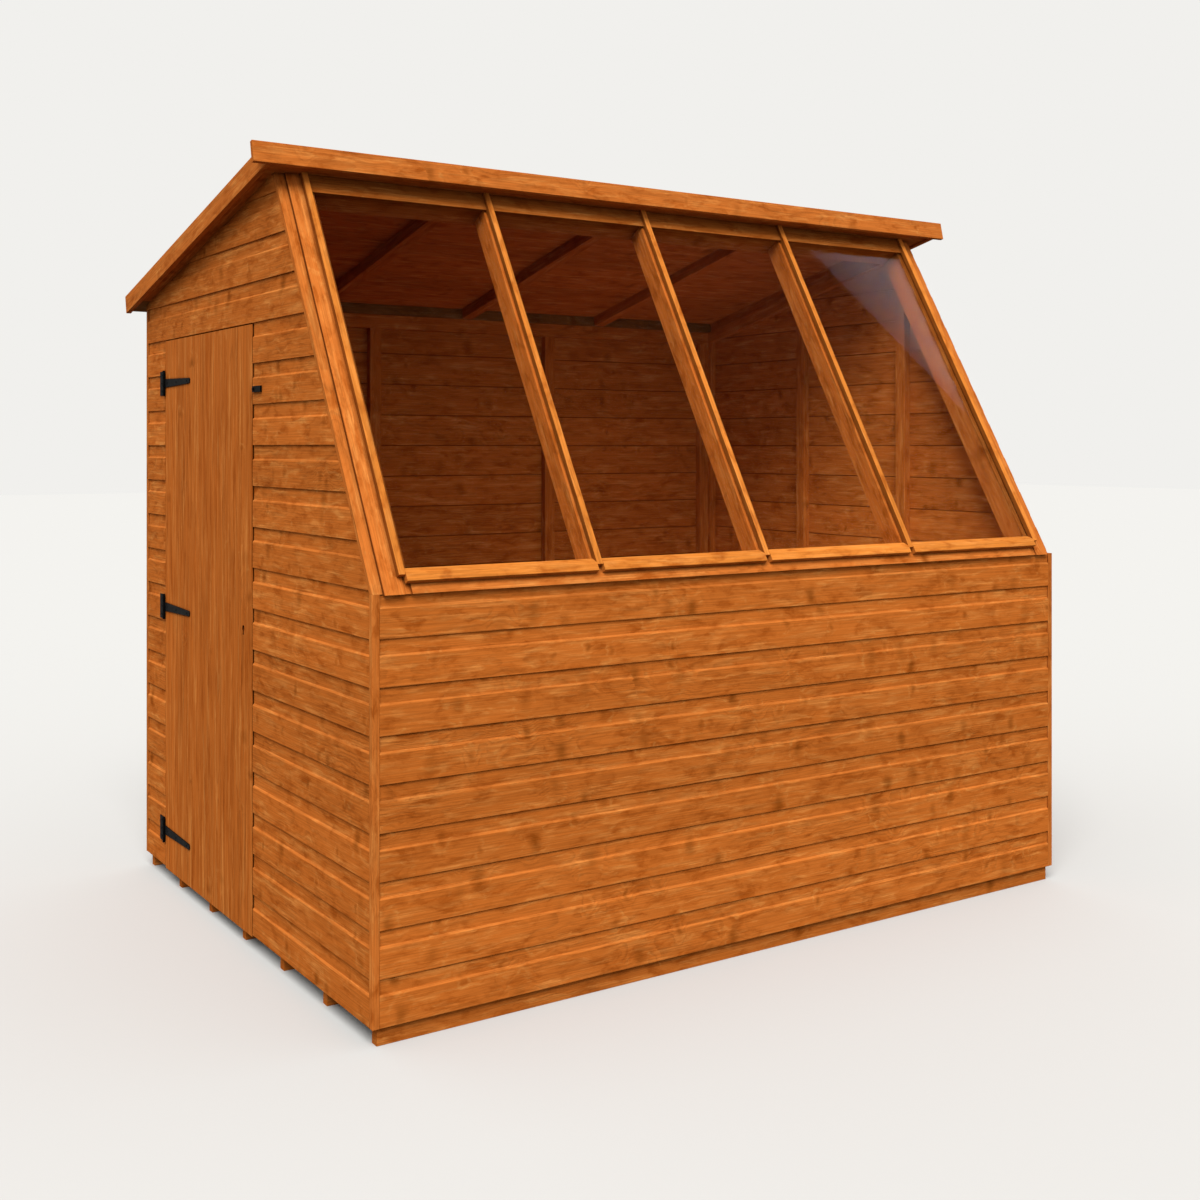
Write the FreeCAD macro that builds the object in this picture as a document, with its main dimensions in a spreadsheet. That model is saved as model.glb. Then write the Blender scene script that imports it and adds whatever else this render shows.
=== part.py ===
import FreeCAD, Part
import os
import Sketcher

# Potting shed: floor, four framed walls, a sloping glazed panel over a low front wall,
# a pent roof that falls to the back, and a ledged door with tee hinges in one end.
# All lengths in millimetres. Shed coordinates: x runs along the front from the outer face of
# the door end, y runs back from the outer face of the front wall, z runs up from the ground.
# Every finished piece is then shifted so that the origin lies under the middle of the shed.

SIZES = {
    # whole shed
    "shed_length": 2396, "shed_width": 1800, "origin_depth": 937.49,
    "cladding_base": 45, "sill_height": 1055.5, "glazing_lean": 30,
    "soffit_front": 2278.8, "roof_pitch": 12.57,
    # shiplap cladding boards
    "board_pitch": 113.5, "board_thick": 12, "board_flat": 71.5, "shoulder_top": 76.5,
    "recess_depth": 4.5, "board_gap": 0.3, "tongue_rise": 6, "tongue_front": 6, "tongue_back": 9,
    "groove_rise": 6.5,
    # floor
    "bearer_tall": 58, "bearer_wide": 27, "bearer_inset": 17, "floor_thick": 12,
    # wall frames
    "frame_deep": 28, "frame_face": 44, "front_stud_edge": 616, "bay_pitch": 560,
    "back_stud_first": 799, "back_stud_second": 1546, "plain_stud_first": 617.5,
    "plain_stud_second": 1155, "door_end_stud": 378,
    # corner and raking strips
    "strip_front": 19, "strip_end": 18, "strip_rise": 1057.5,
    "rake_strip_wide": 28.2, "rake_strip_front": 7.1, "rake_depth": 14, "rake_strip_foot": 14.5,
    # glazed panel, measured square to its slope
    "sill_overhang": 7.8, "stile_edge": 28.5, "first_bar": 78, "ledge_inner": 23,
    "ledge_outer": 4, "rebate": 5, "stile_deep": 78, "bar_deep": 66, "bar_half": 14.5,
    "sill_face": 50, "sill_top": 68, "head_bottom": 1199, "head_rebate": 1216,
    "glass_front": 1, "glass_foot": 52, "glass_top": 1214, "pane_side_gap": 1,
    "cover_half": 9, "cover_thick": 15, "cover_foot": 45, "bead_play": 0.2,
    "sill_bead_foot": 27, "sill_bead_edge": 49, "sill_bead_top": 68, "sill_bead_thick": 16,
    "head_bead_foot": 1192, "head_bead_thick": 5,
    # roof panel, measured along and square to its slope
    "fascia_front": 563.4, "fascia_thick": 14, "roof_back": 1916.4, "trim_below": 7.5,
    "trim_wide": 59, "barge_reach": 48, "barge_thick": 16, "fascia_reach": 85,
    "rafter_deep": 38, "rafter_wide": 44, "deck_thick": 12, "felt_thick": 1.5,
    "roof_front_wide": 95, "roof_back_wide": 120, "roof_end_inner": 28, "felt_fold": 40,
    # door
    "door_latch_edge": 794, "door_hinge_edge": 1587, "doorway_latch": 788, "doorway_hinge": 1593,
    "door_thick": 11, "door_rise": 1705, "door_drop": 6, "latch_post": 762, "hinge_post": 1575,
    "header_foot": 1737, "ledge_latch": 812, "ledge_hinge": 1569, "ledge_thick": 22,
    "ledge_tall": 95, "brace_foot": 90,
    # tee hinges
    "hinge_first": 162, "hinge_step": 723, "hinge_x": -5, "hinge_y": 1590, "iron_thick": 3,
    "knuckle_radius": 4.5, "bore_radius": 2.55, "pin_radius": 2.5, "pin_head": 4,
    "pin_head_thick": 2, "plate_half": 39, "plate_end": 1637, "plate_near": 1594.8,
    "leaf_near": 1593, "strap_knuckle_half": 14, "plate_knuckle_near": 14.4,
    "strap_root_half": 13.7, "strap_tip_half": 7.9, "strap_tip": 1336, "strap_nose": 4,
    # rim lock
    "key_y": 863, "key_z": 890, "key_radius": 9, "key_slot": 8, "key_slot_drop": 18,
    "case_latch": 815, "case_long": 90, "case_thick": 18, "case_half": 40,
    "bolt_near": 41.5, "bolt_thick": 7, "bolt_half": 12, "bolt_tip": 813, "bolt_long": 50,
    "bolt_play": 0.4, "bolt_room": 4, "keep_near": 780, "keep_thick": 12, "keep_half": 22,
    "keep_pocket": 12,
    # turn button
    "button_y": 768, "button_z": 1562, "button_gap": 1, "button_thick": 5, "button_arm": 54,
    "button_half": 8.5, "button_bore": 2.55, "screw_radius": 2.5, "screw_head": 5,
    "screw_head_thick": 2.5, "screw_long": 34,
}
FRONT_COURSES = 9
BACK_COURSES = 16
DOORWAY_COURSES = 15
END_COURSES = 19
FLOOR_BOARDS = 21
ROOF_BOARDS = 12
DOOR_BOARDS = 7
BEARERS = 7
BAYS = 4
HINGES = 3

doc = FreeCAD.newDocument("potting_shed")
sheet = doc.addObject("Spreadsheet::Sheet", "Size")
for row, (alias, value) in enumerate(SIZES.items(), 1):
    sheet.set("A%d" % row, alias)
    sheet.set("B%d" % row, str(value))
    sheet.setAlias("B%d" % row, alias)
doc.recompute()

nodes = []


def size(alias):
    """Name of a sheet cell as it is written in a formula."""
    assert alias in SIZES, alias
    return "Size." + alias


LENGTH = size("shed_length")
WIDTH = size("shed_width")
LEAN = size("glazing_lean")
PITCH = size("roof_pitch")
SILL = size("sill_height")
BASE = size("cladding_base")
CLAD = size("board_thick")
DEEP = size("frame_deep")
FACE = size("frame_face")
INNER = "(%s + %s)" % (CLAD, DEEP)
FLOOR = "(%s + %s)" % (size("bearer_tall"), size("floor_thick"))
RAKE = size("rake_depth")
RAKE_BACK = "(%s + %s)" % (RAKE, FACE)
OVERHANG = size("sill_overhang")


def soffit_z(y, drop="0"):
    """Height of the roof panel's underside at depth y, less a drop."""
    return "(%s - (%s) * tan(%s) - (%s))" % (size("soffit_front"), y, PITCH, drop)


def rake_z(y, depth):
    """Height at y of the plane that lies a given depth behind the raking line of the walls."""
    return "(%s + (%s) / tan(%s) - (%s) / sin(%s))" % (SILL, y, LEAN, depth, LEAN)


def apex_y(depth, drop="0"):
    """Where that plane meets the roof's underside, or a plane dropped below it."""
    return "((%s - (%s) - %s + (%s) / sin(%s)) / (1 / tan(%s) + tan(%s)))" % (
        size("soffit_front"), drop, SILL, depth, LEAN, LEAN, PITCH)


def slope_top(depth):
    """Length up the glazed panel at which a given depth meets the roof's underside."""
    rise = "(%s - %s + %s * tan(%s))" % (size("soffit_front"), SILL, OVERHANG, PITCH)
    return "((%s + (%s) * (sin(%s) - cos(%s) * tan(%s))) / (cos(%s) + sin(%s) * tan(%s)))" % (
        rise, depth, LEAN, LEAN, PITCH, LEAN, LEAN, PITCH)


TOP_RAIL_DROP = "(%s / cos(%s))" % (FACE, PITCH)


def place(obj, x="0", y="0", z="0"):
    """Bind an object's position to formulas."""
    obj.setExpression("Placement.Base.x", x)
    obj.setExpression("Placement.Base.y", y)
    obj.setExpression("Placement.Base.z", z)


def stand(obj, frame="level", x="0", y="0", z="0"):
    """Set a finished piece into the shed: level, on the glazed slope or on the roof slope."""
    angle = {"level": None, "glazing": LEAN, "roof": PITCH}[frame]
    rise = {"level": "0", "glazing": SILL, "roof": size("soffit_front")}[frame]
    back = {"level": "0", "glazing": "-" + OVERHANG, "roof": "0"}[frame]
    if angle:
        obj.Placement = FreeCAD.Placement(
            FreeCAD.Vector(0, 0, 0), FreeCAD.Rotation(FreeCAD.Vector(-1, 0, 0), 1))
        obj.setExpression("Placement.Rotation.Angle", angle)
    place(obj, "(%s) - %s / 2" % (x, LENGTH), "(%s) - %s + (%s)" % (y, size("origin_depth"), back),
          "(%s) + %s" % (z, rise))


def finish(obj, label, frame="level"):
    """Name a finished piece and set it into the shed."""
    stand(obj, frame)
    obj.Label = label
    nodes.append(obj)
    return obj


def draw(sketch, points):
    """Closed outline whose every corner is bound to a pair of formulas."""
    corners = [tuple(float(sheet.evalExpression(part)) for part in point) for point in points]
    vectors = [FreeCAD.Vector(x, y, 0) for x, y in corners]
    count = len(points)
    for i in range(count):
        sketch.addGeometry(Part.LineSegment(vectors[i], vectors[(i + 1) % count]), False)
    for i in range(count):
        sketch.addConstraint(Sketcher.Constraint("Coincident", i, 2, (i + 1) % count, 1))
    for i in range(count):
        for axis in (0, 1):
            kind = ("DistanceX", "DistanceY")[axis]
            index = sketch.addConstraint(Sketcher.Constraint(kind, i, 1, corners[i][axis]))
            sketch.setExpression("Constraints[%d]" % index, points[i][axis])


def ring(sketch, centre_x, centre_y, radii):
    """Circles about one centre, each radius bound to a formula."""
    x, y = float(sheet.evalExpression(centre_x)), float(sheet.evalExpression(centre_y))
    for i, radius in enumerate(radii):
        start = float(sheet.evalExpression(radius))
        sketch.addGeometry(Part.Circle(FreeCAD.Vector(x, y, 0), FreeCAD.Vector(0, 0, 1), start), False)
        for kind, value, formula in (("DistanceX", x, centre_x), ("DistanceY", y, centre_y)):
            index = sketch.addConstraint(Sketcher.Constraint(kind, i, 3, value))
            sketch.setExpression("Constraints[%d]" % index, formula)
        index = sketch.addConstraint(Sketcher.Constraint("Radius", i, start))
        sketch.setExpression("Constraints[%d]" % index, radius)


def body_sketch(body, name, plane, start="0"):
    """Sketch on one of a body's own planes, moved along that plane's normal."""
    sketch = body.newObject("Sketcher::SketchObject", name)
    support = [item for item in body.Origin.OriginFeatures if item.Role == plane][0]
    sketch.AttachmentSupport = (support, [""])
    sketch.MapMode = "FlatFace"
    sketch.setExpression("AttachmentOffset.Base.z", start)
    return sketch


def pad(body, sketch, length):
    """Additive extrusion of a sketch along its plane's normal."""
    feature = body.newObject("PartDesign::Pad", sketch.Name + "_pad")
    feature.Profile = sketch
    feature.setExpression("Length", length)
    sketch.Visibility = False
    return feature


def pocket(body, sketch, length):
    """Extrusion of a sketch cut away against its plane's normal, and proof that it cut."""
    doc.recompute()
    before = body.Shape.Volume
    feature = body.newObject("PartDesign::Pocket", sketch.Name + "_pocket")
    feature.Profile = sketch
    feature.setExpression("Length", length)
    feature.Reversed = True
    sketch.Visibility = False
    doc.recompute()
    assert body.Shape.Volume < before - 1, sketch.Name
    return feature


def prism(name, plane, points, start, length):
    """Body with one padded outline: on the YZ plane it runs along x, on the XY plane along z."""
    body = doc.addObject("PartDesign::Body", name)
    sketch = body_sketch(body, name + "_outline", plane, start)
    draw(sketch, points)
    pad(body, sketch, length)
    return body


def block(name, x, y, z, long_x, deep_y, tall_z):
    """Rectangular timber by its low corner and three sizes."""
    box = doc.addObject("Part::Box", name)
    box.setExpression("Length", long_x)
    box.setExpression("Width", deep_y)
    box.setExpression("Height", tall_z)
    place(box, x, y, z)
    return box


def timber(label, x, y, z, long_x, deep_y, tall_z):
    """Rectangular timber that is a finished piece by itself."""
    box = block(label, x, y, z, long_x, deep_y, tall_z)
    stand(box, "level", x, y, z)
    box.Label = label
    nodes.append(box)
    return box


def gather(name, members):
    """Several solids as one group."""
    group = doc.addObject("Part::Compound", name)
    group.Links = members
    return group


def combine(kind, name, base, tool):
    """Boolean of two objects: Part::Common or Part::Cut."""
    result = doc.addObject(kind, name)
    result.Base = base
    result.Tool = tool
    return result


def mirror_x(points):
    """The same outline at the other end of the shed."""
    return [("%s - (%s)" % (LENGTH, x), y) for x, y in points]


def mirror_y(points):
    """The same outline at the other side of the shed."""
    return [(x, "%s - (%s)" % (WIDTH, y)) for x, y in points]


def rectangle(low_a, low_b, high_a, high_b):
    """Four corners from two opposite ones."""
    return [(low_a, low_b), (high_a, low_b), (high_a, high_b), (low_a, high_b)]


# Board sections, shared by every board of a kind.
def section_sketch(name, points):
    """Outline that many boards are extruded from."""
    sketch = doc.addObject("Sketcher::SketchObject", name)
    draw(sketch, points)
    return sketch


GAP = size("board_gap")
BOARD_TOP = "%s - %s" % (size("board_pitch"), GAP)
TONGUE_TOP = "%s + %s" % (size("board_pitch"), size("tongue_rise"))
shiplap = section_sketch("shiplap_section", [
    ("0", "0"),
    ("0", size("board_flat")),
    (size("recess_depth"), size("shoulder_top")),
    (size("recess_depth"), BOARD_TOP),
    (size("tongue_front"), BOARD_TOP),
    (size("tongue_front"), TONGUE_TOP),
    (size("tongue_back"), TONGUE_TOP),
    (size("tongue_back"), BOARD_TOP),
    (CLAD, BOARD_TOP),
    (CLAD, "0"),
    ("%s + %s" % (size("tongue_back"), GAP), "0"),
    ("%s + %s" % (size("tongue_back"), GAP), size("groove_rise")),
    ("%s - %s" % (size("tongue_front"), GAP), size("groove_rise")),
    ("%s - %s" % (size("tongue_front"), GAP), "0"),
])


def matchboard(name, pitch, thick):
    """Square-edged board with a tongue on one edge and a groove in the other."""
    low = "%s * 3 / 8" % thick
    high = "%s * 5 / 8" % thick
    edge = "%s - %s" % (pitch, GAP)
    tip = "%s + %s" % (pitch, size("tongue_rise"))
    return section_sketch(name, [
        ("0", "0"),
        (edge, "0"),
        (edge, low),
        (tip, low),
        (tip, high),
        (edge, high),
        (edge, thick),
        ("0", thick),
        ("0", "%s + %s" % (high, GAP)),
        (size("groove_rise"), "%s + %s" % (high, GAP)),
        (size("groove_rise"), "%s - %s" % (low, GAP)),
        ("0", "%s - %s" % (low, GAP)),
    ])


DOOR_PITCH = "((%s - %s) / %d)" % (size("door_hinge_edge"), size("door_latch_edge"), DOOR_BOARDS)
floor_section = matchboard("floor_section", size("board_pitch"), size("floor_thick"))
roof_section = matchboard("roof_section", size("board_pitch"), size("deck_thick"))
door_section = matchboard("door_section", DOOR_PITCH, size("door_thick"))

X_AXIS = FreeCAD.Vector(1, 0, 0)
Y_AXIS = FreeCAD.Vector(0, 1, 0)
Z_AXIS = FreeCAD.Vector(0, 0, 1)


def turned(across, up):
    """Rotation that lays a section's two axes along the given directions."""
    return FreeCAD.Rotation(across, up, across.cross(up), "XYZ")


def board(section, name, turn, x, y, z, length):
    """One board extruded from a section."""
    piece = doc.addObject("Part::Extrusion", name)
    piece.Base = section
    piece.DirMode = "Normal"
    piece.Solid = True
    piece.setExpression("LengthFwd", length)
    piece.Placement = FreeCAD.Placement(FreeCAD.Vector(0, 0, 0), turn)
    place(piece, x, y, z)
    return piece


FRONT_TURN = turned(Y_AXIS, Z_AXIS)
BACK_TURN = turned(-Y_AXIS, Z_AXIS)
DOOR_END_TURN = turned(X_AXIS, Z_AXIS)
PLAIN_END_TURN = turned(-X_AXIS, Z_AXIS)


def courses(name, turn, x, y, length, first, last):
    """Run of shiplap courses, numbered up from the lowest."""
    members = []
    for course in range(first, last):
        z = "%s + %d * %s" % (BASE, course, size("board_pitch"))
        members.append(board(shiplap, "%s_%d" % (name, course), turn, x, y, z, length))
    return gather(name + "_courses", members)


# Floor: bearers along x, boards along y.
bearer_step = "(%s - 2 * %s - %s) / %d" % (WIDTH, CLAD, size("bearer_wide"), BEARERS - 1)
finish(gather("floor_bearers", [
    block("bearer_%d" % i, size("bearer_inset"), "%s + %d * (%s)" % (CLAD, i, bearer_step), "0",
          "%s - 2 * %s" % (LENGTH, size("bearer_inset")), size("bearer_wide"), size("bearer_tall"))
    for i in range(BEARERS)]), "floor_bearers")
FLOOR_DEEP = "%s - 2 * %s" % (WIDTH, CLAD)
floor_run = gather("floor_run", [
    board(floor_section, "floor_board_%d" % i, turned(X_AXIS, Z_AXIS),
          "%s + %d * %s" % (CLAD, i, size("board_pitch")), "%s - %s" % (WIDTH, CLAD),
          size("bearer_tall"), FLOOR_DEEP)
    for i in range(FLOOR_BOARDS)])
floor_area = block("floor_area", CLAD, CLAD, size("bearer_tall"),
                   "%s - 2 * %s" % (LENGTH, CLAD), FLOOR_DEEP, size("floor_thick"))
finish(combine("Part::Common", "floor_boards", floor_run, floor_area), "floor_boards")

# Front wall, cut off level under the glazed panel.
FRONT_START = size("strip_front")
FRONT_LONG = "%s - 2 * %s" % (LENGTH, size("strip_front"))
front_run = courses("front", FRONT_TURN, FRONT_START, "0", FRONT_LONG, 0, FRONT_COURSES)
front_area = block("front_area", FRONT_START, "0", BASE, FRONT_LONG, CLAD, "%s - %s" % (SILL, BASE))
finish(combine("Part::Common", "front_cladding", front_run, front_area), "front_cladding")
RAIL_LONG = "%s - 2 * %s" % (LENGTH, INNER)
timber("front_bottom_rail", INNER, CLAD, FLOOR, RAIL_LONG, DEEP, FACE)
timber("front_top_rail", INNER, CLAD, "%s - %s" % (SILL, FACE), RAIL_LONG, DEEP, FACE)
front_stud_edges = [INNER]
front_stud_edges += ["%s + %d * %s" % (size("front_stud_edge"), i, size("bay_pitch"))
                     for i in range(BAYS - 1)]
front_stud_edges += ["%s - %s - %s" % (LENGTH, INNER, FACE)]
STUD_FOOT = "%s + %s" % (FLOOR, FACE)
finish(gather("front_studs", [
    block("front_stud_%d" % i, edge, CLAD, STUD_FOOT, FACE, DEEP,
          "%s - %s - (%s)" % (SILL, FACE, STUD_FOOT))
    for i, edge in enumerate(front_stud_edges)]), "front_studs")

# Back wall, its top rail bevelled to the roof.
finish(courses("back", BACK_TURN, "%s - %s" % (LENGTH, FRONT_START), WIDTH, FRONT_LONG,
               0, BACK_COURSES), "back_cladding")
BACK_FACE = "(%s - %s)" % (WIDTH, CLAD)
BACK_INNER = "(%s - %s)" % (WIDTH, INNER)
timber("back_bottom_rail", INNER, BACK_INNER, FLOOR, RAIL_LONG, DEEP, FACE)
BACK_RAIL_FOOT = soffit_z(BACK_FACE, FACE)
finish(prism("back_top_rail", "YZ_Plane", [
    (BACK_INNER, BACK_RAIL_FOOT),
    (BACK_FACE, BACK_RAIL_FOOT),
    (BACK_FACE, soffit_z(BACK_FACE)),
    (BACK_INNER, soffit_z(BACK_INNER)),
], INNER, RAIL_LONG), "back_top_rail")
back_stud_edges = [INNER, size("back_stud_first"), size("back_stud_second"),
                   "%s - %s - %s" % (LENGTH, INNER, FACE)]
finish(gather("back_studs", [
    block("back_stud_%d" % i, edge, BACK_INNER, STUD_FOOT, FACE, DEEP,
          "%s - (%s)" % (BACK_RAIL_FOOT, STUD_FOOT))
    for i, edge in enumerate(back_stud_edges)]), "back_studs")

# End walls. Their boards are cut to one outline: raking at the front, roof slope on top.
END_START = size("strip_end")
END_BACK = "(%s - %s)" % (WIDTH, size("strip_end"))
RAKE_APEX = apex_y(RAKE)
end_outline = prism("end_outline", "YZ_Plane", [
    (END_START, BASE),
    (END_BACK, BASE),
    (END_BACK, soffit_z(END_BACK)),
    (RAKE_APEX, soffit_z(RAKE_APEX)),
    (END_START, rake_z(END_START, RAKE)),
], "0", LENGTH)


def end_cladding(label, turn, x, run_from, length, first, last):
    """Courses of an end wall, trimmed to the outline."""
    run = courses(label, turn, x, run_from, length, first, last)
    finish(combine("Part::Common", label, run, end_outline), label)


end_cladding("door_end_cladding_front", DOOR_END_TURN, "0", size("doorway_latch"),
             "%s - %s" % (size("doorway_latch"), END_START), 0, DOORWAY_COURSES)
end_cladding("door_end_cladding_back", DOOR_END_TURN, "0", END_BACK,
             "%s - %s" % (END_BACK, size("doorway_hinge")), 0, DOORWAY_COURSES)
end_cladding("door_end_cladding_over", DOOR_END_TURN, "0", END_BACK,
             "%s - %s" % (END_BACK, END_START), DOORWAY_COURSES, END_COURSES)
end_cladding("plain_end_cladding", PLAIN_END_TURN, LENGTH, END_START,
             "%s - %s" % (END_BACK, END_START), 0, END_COURSES)

DOOR_END_X = CLAD
PLAIN_END_X = "%s - %s" % (LENGTH, INNER)
POST_INNER = "(%s + %s)" % (CLAD, FACE)
POST_BACK = "(%s - %s - %s)" % (WIDTH, CLAD, FACE)


def upright(name, x, y, foot, top):
    """Post or stud of an end wall, its top cut by a function of y."""
    far = "(%s + %s)" % (y, FACE)
    return prism(name, "YZ_Plane", [(y, foot), (far, foot), (far, top(far)), (y, top(y))], x, DEEP)


def under_roof(y):
    """Underside of the end wall's top rail."""
    return soffit_z(y, TOP_RAIL_DROP)


def under_rake(y):
    """Underside of the end wall's raking rail."""
    return rake_z(y, RAKE_BACK)


def at_sill(y):
    """Level top of the front corner post."""
    return SILL


def end_frame(label, x, studs):
    """Studs, each with the cut of its top, and the raking and top rails of an end wall."""
    members = [upright(label + "_front_post", x, CLAD, FLOOR, at_sill),
               upright(label + "_back_post", x, POST_BACK, FLOOR, under_roof)]
    for i, (edge, top) in enumerate(studs):
        members.append(upright("%s_stud_%d" % (label, i), x, edge, STUD_FOOT, top))
    finish(gather(label + "_studs", members), label + "_studs")
    rail_apex = apex_y(RAKE_BACK)
    finish(prism(label + "_raking_rail", "YZ_Plane", [
        ("%s / cos(%s)" % (RAKE, LEAN), SILL),
        ("%s / cos(%s)" % (RAKE_BACK, LEAN), SILL),
        (rail_apex, soffit_z(rail_apex)),
        (RAKE_APEX, soffit_z(RAKE_APEX)),
    ], x, DEEP), label + "_raking_rail")
    low_apex = apex_y(RAKE_BACK, TOP_RAIL_DROP)
    finish(prism(label + "_top_rail", "YZ_Plane", [
        (rail_apex, soffit_z(rail_apex)),
        (low_apex, under_roof(low_apex)),
        (BACK_FACE, under_roof(BACK_FACE)),
        (BACK_FACE, soffit_z(BACK_FACE)),
    ], x, DEEP), label + "_top_rail")


end_frame("door_end", DOOR_END_X, [(size("door_end_stud"), under_rake)])
LATCH_FAR = "(%s + %s)" % (size("latch_post"), FACE)
HINGE_FAR = "(%s + %s)" % (size("hinge_post"), FACE)
finish(upright("door_latch_post", DOOR_END_X, size("latch_post"), FLOOR, under_roof), "door_latch_post")
finish(upright("door_hinge_post", DOOR_END_X, size("hinge_post"), FLOOR, under_roof), "door_hinge_post")
timber("door_header", DOOR_END_X, LATCH_FAR, size("header_foot"), DEEP,
       "%s - %s" % (size("hinge_post"), LATCH_FAR), FACE)
finish(gather("door_end_bottom_rails", [
    block("door_end_rail_front", DOOR_END_X, POST_INNER, FLOOR, DEEP,
          "%s - %s" % (size("latch_post"), POST_INNER), FACE),
    block("door_end_rail_back", DOOR_END_X, HINGE_FAR, FLOOR, DEEP,
          "%s - %s" % (POST_BACK, HINGE_FAR), FACE),
]), "door_end_bottom_rails")

end_frame("plain_end", PLAIN_END_X, [
    (size("plain_stud_first"), under_rake), (size("plain_stud_second"), under_roof)])
timber("plain_end_bottom_rail", PLAIN_END_X, POST_INNER, FLOOR, DEEP,
       "%s - %s" % (POST_BACK, POST_INNER), FACE)

# Strips over the corners and over the raking edge of the door end.
corner = [("0", "0"), (size("strip_front"), "0"), (size("strip_front"), CLAD), (CLAD, CLAD),
          (CLAD, size("strip_end")), ("0", size("strip_end"))]
FRONT_STRIP = "%s - %s" % (size("strip_rise"), BASE)
BACK_STRIP = "%s - %s" % (soffit_z(WIDTH), BASE)
finish(gather("corner_strips", [
    prism("corner_front_left", "XY_Plane", corner, BASE, FRONT_STRIP),
    prism("corner_front_right", "XY_Plane", mirror_x(corner), BASE, FRONT_STRIP),
    prism("corner_back_left", "XY_Plane", mirror_y(corner), BASE, BACK_STRIP),
    prism("corner_back_right", "XY_Plane", mirror_x(mirror_y(corner)), BASE, BACK_STRIP),
]), "corner_strips")
RAKE_SEAT = "(%s + %s * cos(%s))" % (RAKE, OVERHANG, LEAN)
finish(prism("raking_strip", "YZ_Plane", [
    (size("rake_strip_front"), size("rake_strip_foot")),
    (RAKE_SEAT, size("rake_strip_foot")),
    (RAKE_SEAT, slope_top(RAKE_SEAT)),
    (size("rake_strip_front"), slope_top(size("rake_strip_front"))),
], "0", size("rake_strip_wide")), "raking_strip", "glazing")

# Glazed panel. Its own axes: x along the shed, y square into the panel, z up its slope.
REBATE = size("rebate")
STILE_DEEP = size("stile_deep")
STILE_INNER = "(%s + %s)" % (size("first_bar"), size("ledge_inner"))
STILE_LEDGE = "(%s + %s)" % (size("first_bar"), size("ledge_outer"))
stile_section = [
    (size("stile_edge"), "0"),
    (STILE_LEDGE, "0"),
    (STILE_LEDGE, REBATE),
    (STILE_INNER, REBATE),
    (STILE_INNER, STILE_DEEP),
    (INNER, STILE_DEEP),
    (INNER, RAKE_SEAT),
    (size("stile_edge"), RAKE_SEAT),
]
STILE_REACH = slope_top(STILE_DEEP)
stile_side = prism("stile_side", "YZ_Plane", [
    ("0", "0"),
    (STILE_DEEP, "%s * tan(%s)" % (STILE_DEEP, LEAN)),
    (STILE_DEEP, slope_top(STILE_DEEP)),
    ("0", slope_top("0")),
], "0", LENGTH)
for label, section in (("window_stile_left", stile_section),
                       ("window_stile_right", mirror_x(stile_section))):
    stick = prism(label + "_stick", "XY_Plane", section, "0", STILE_REACH)
    finish(combine("Part::Common", label, stick, stile_side), label, "glazing")

BETWEEN_STILES = "%s - 2 * %s" % (LENGTH, STILE_INNER)
finish(prism("window_sill_rail", "YZ_Plane", [
    ("0", "0"),
    ("0", size("sill_face")),
    (REBATE, size("sill_face")),
    (REBATE, size("sill_top")),
    (STILE_DEEP, size("sill_top")),
    (STILE_DEEP, "%s * tan(%s)" % (STILE_DEEP, LEAN)),
], STILE_INNER, BETWEEN_STILES), "window_sill_rail", "glazing")
finish(prism("window_head_rail", "YZ_Plane", [
    (REBATE, size("head_bottom")),
    (STILE_DEEP, size("head_bottom")),
    (STILE_DEEP, slope_top(STILE_DEEP)),
    ("0", slope_top("0")),
    ("0", size("head_rebate")),
    (REBATE, size("head_rebate")),
], STILE_INNER, BETWEEN_STILES), "window_head_rail", "glazing")


def bar_centre(i):
    """Middle of a bar's cover strip; the first and last lie on the stiles."""
    return "(%s + %d * %s)" % (size("first_bar"), i, size("bay_pitch"))


for i in range(1, BAYS):
    middle = bar_centre(i)
    wide = size("bar_half")
    nib = size("ledge_outer")
    finish(prism("glazing_bar_%d" % i, "XY_Plane", [
        ("%s - %s" % (middle, wide), size("bar_deep")),
        ("%s - %s" % (middle, wide), REBATE),
        ("%s - %s" % (middle, nib), REBATE),
        ("%s - %s" % (middle, nib), "0"),
        ("%s + %s" % (middle, nib), "0"),
        ("%s + %s" % (middle, nib), REBATE),
        ("%s + %s" % (middle, wide), REBATE),
        ("%s + %s" % (middle, wide), size("bar_deep")),
    ], size("sill_top"), "%s - %s" % (size("head_bottom"), size("sill_top"))),
        "glazing_bar_%d" % i, "glazing")

PANE_INSET = "(%s + %s)" % (size("ledge_outer"), size("pane_side_gap"))
for i in range(BAYS):
    pane_from = "%s + %s" % (bar_centre(i), PANE_INSET)
    pane_to = "%s - %s" % (bar_centre(i + 1), PANE_INSET)
    finish(prism("window_pane_%d" % (i + 1), "XY_Plane",
                 rectangle(pane_from, size("glass_front"), pane_to, REBATE),
                 size("glass_foot"), "%s - %s" % (size("glass_top"), size("glass_foot"))),
           "window_pane_%d" % (i + 1), "glazing")

cover_side = [
    ("-%s" % size("cover_thick"), size("cover_foot")),
    ("0", size("cover_foot")),
    ("0", slope_top("0")),
    ("-%s" % size("cover_thick"), slope_top("-%s" % size("cover_thick"))),
]
finish(gather("bar_cover_strips", [
    prism("cover_%d" % i, "YZ_Plane", cover_side, "%s - %s" % (bar_centre(i), size("cover_half")),
          "2 * %s" % size("cover_half"))
    for i in range(BAYS + 1)]), "bar_cover_strips", "glazing")

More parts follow.
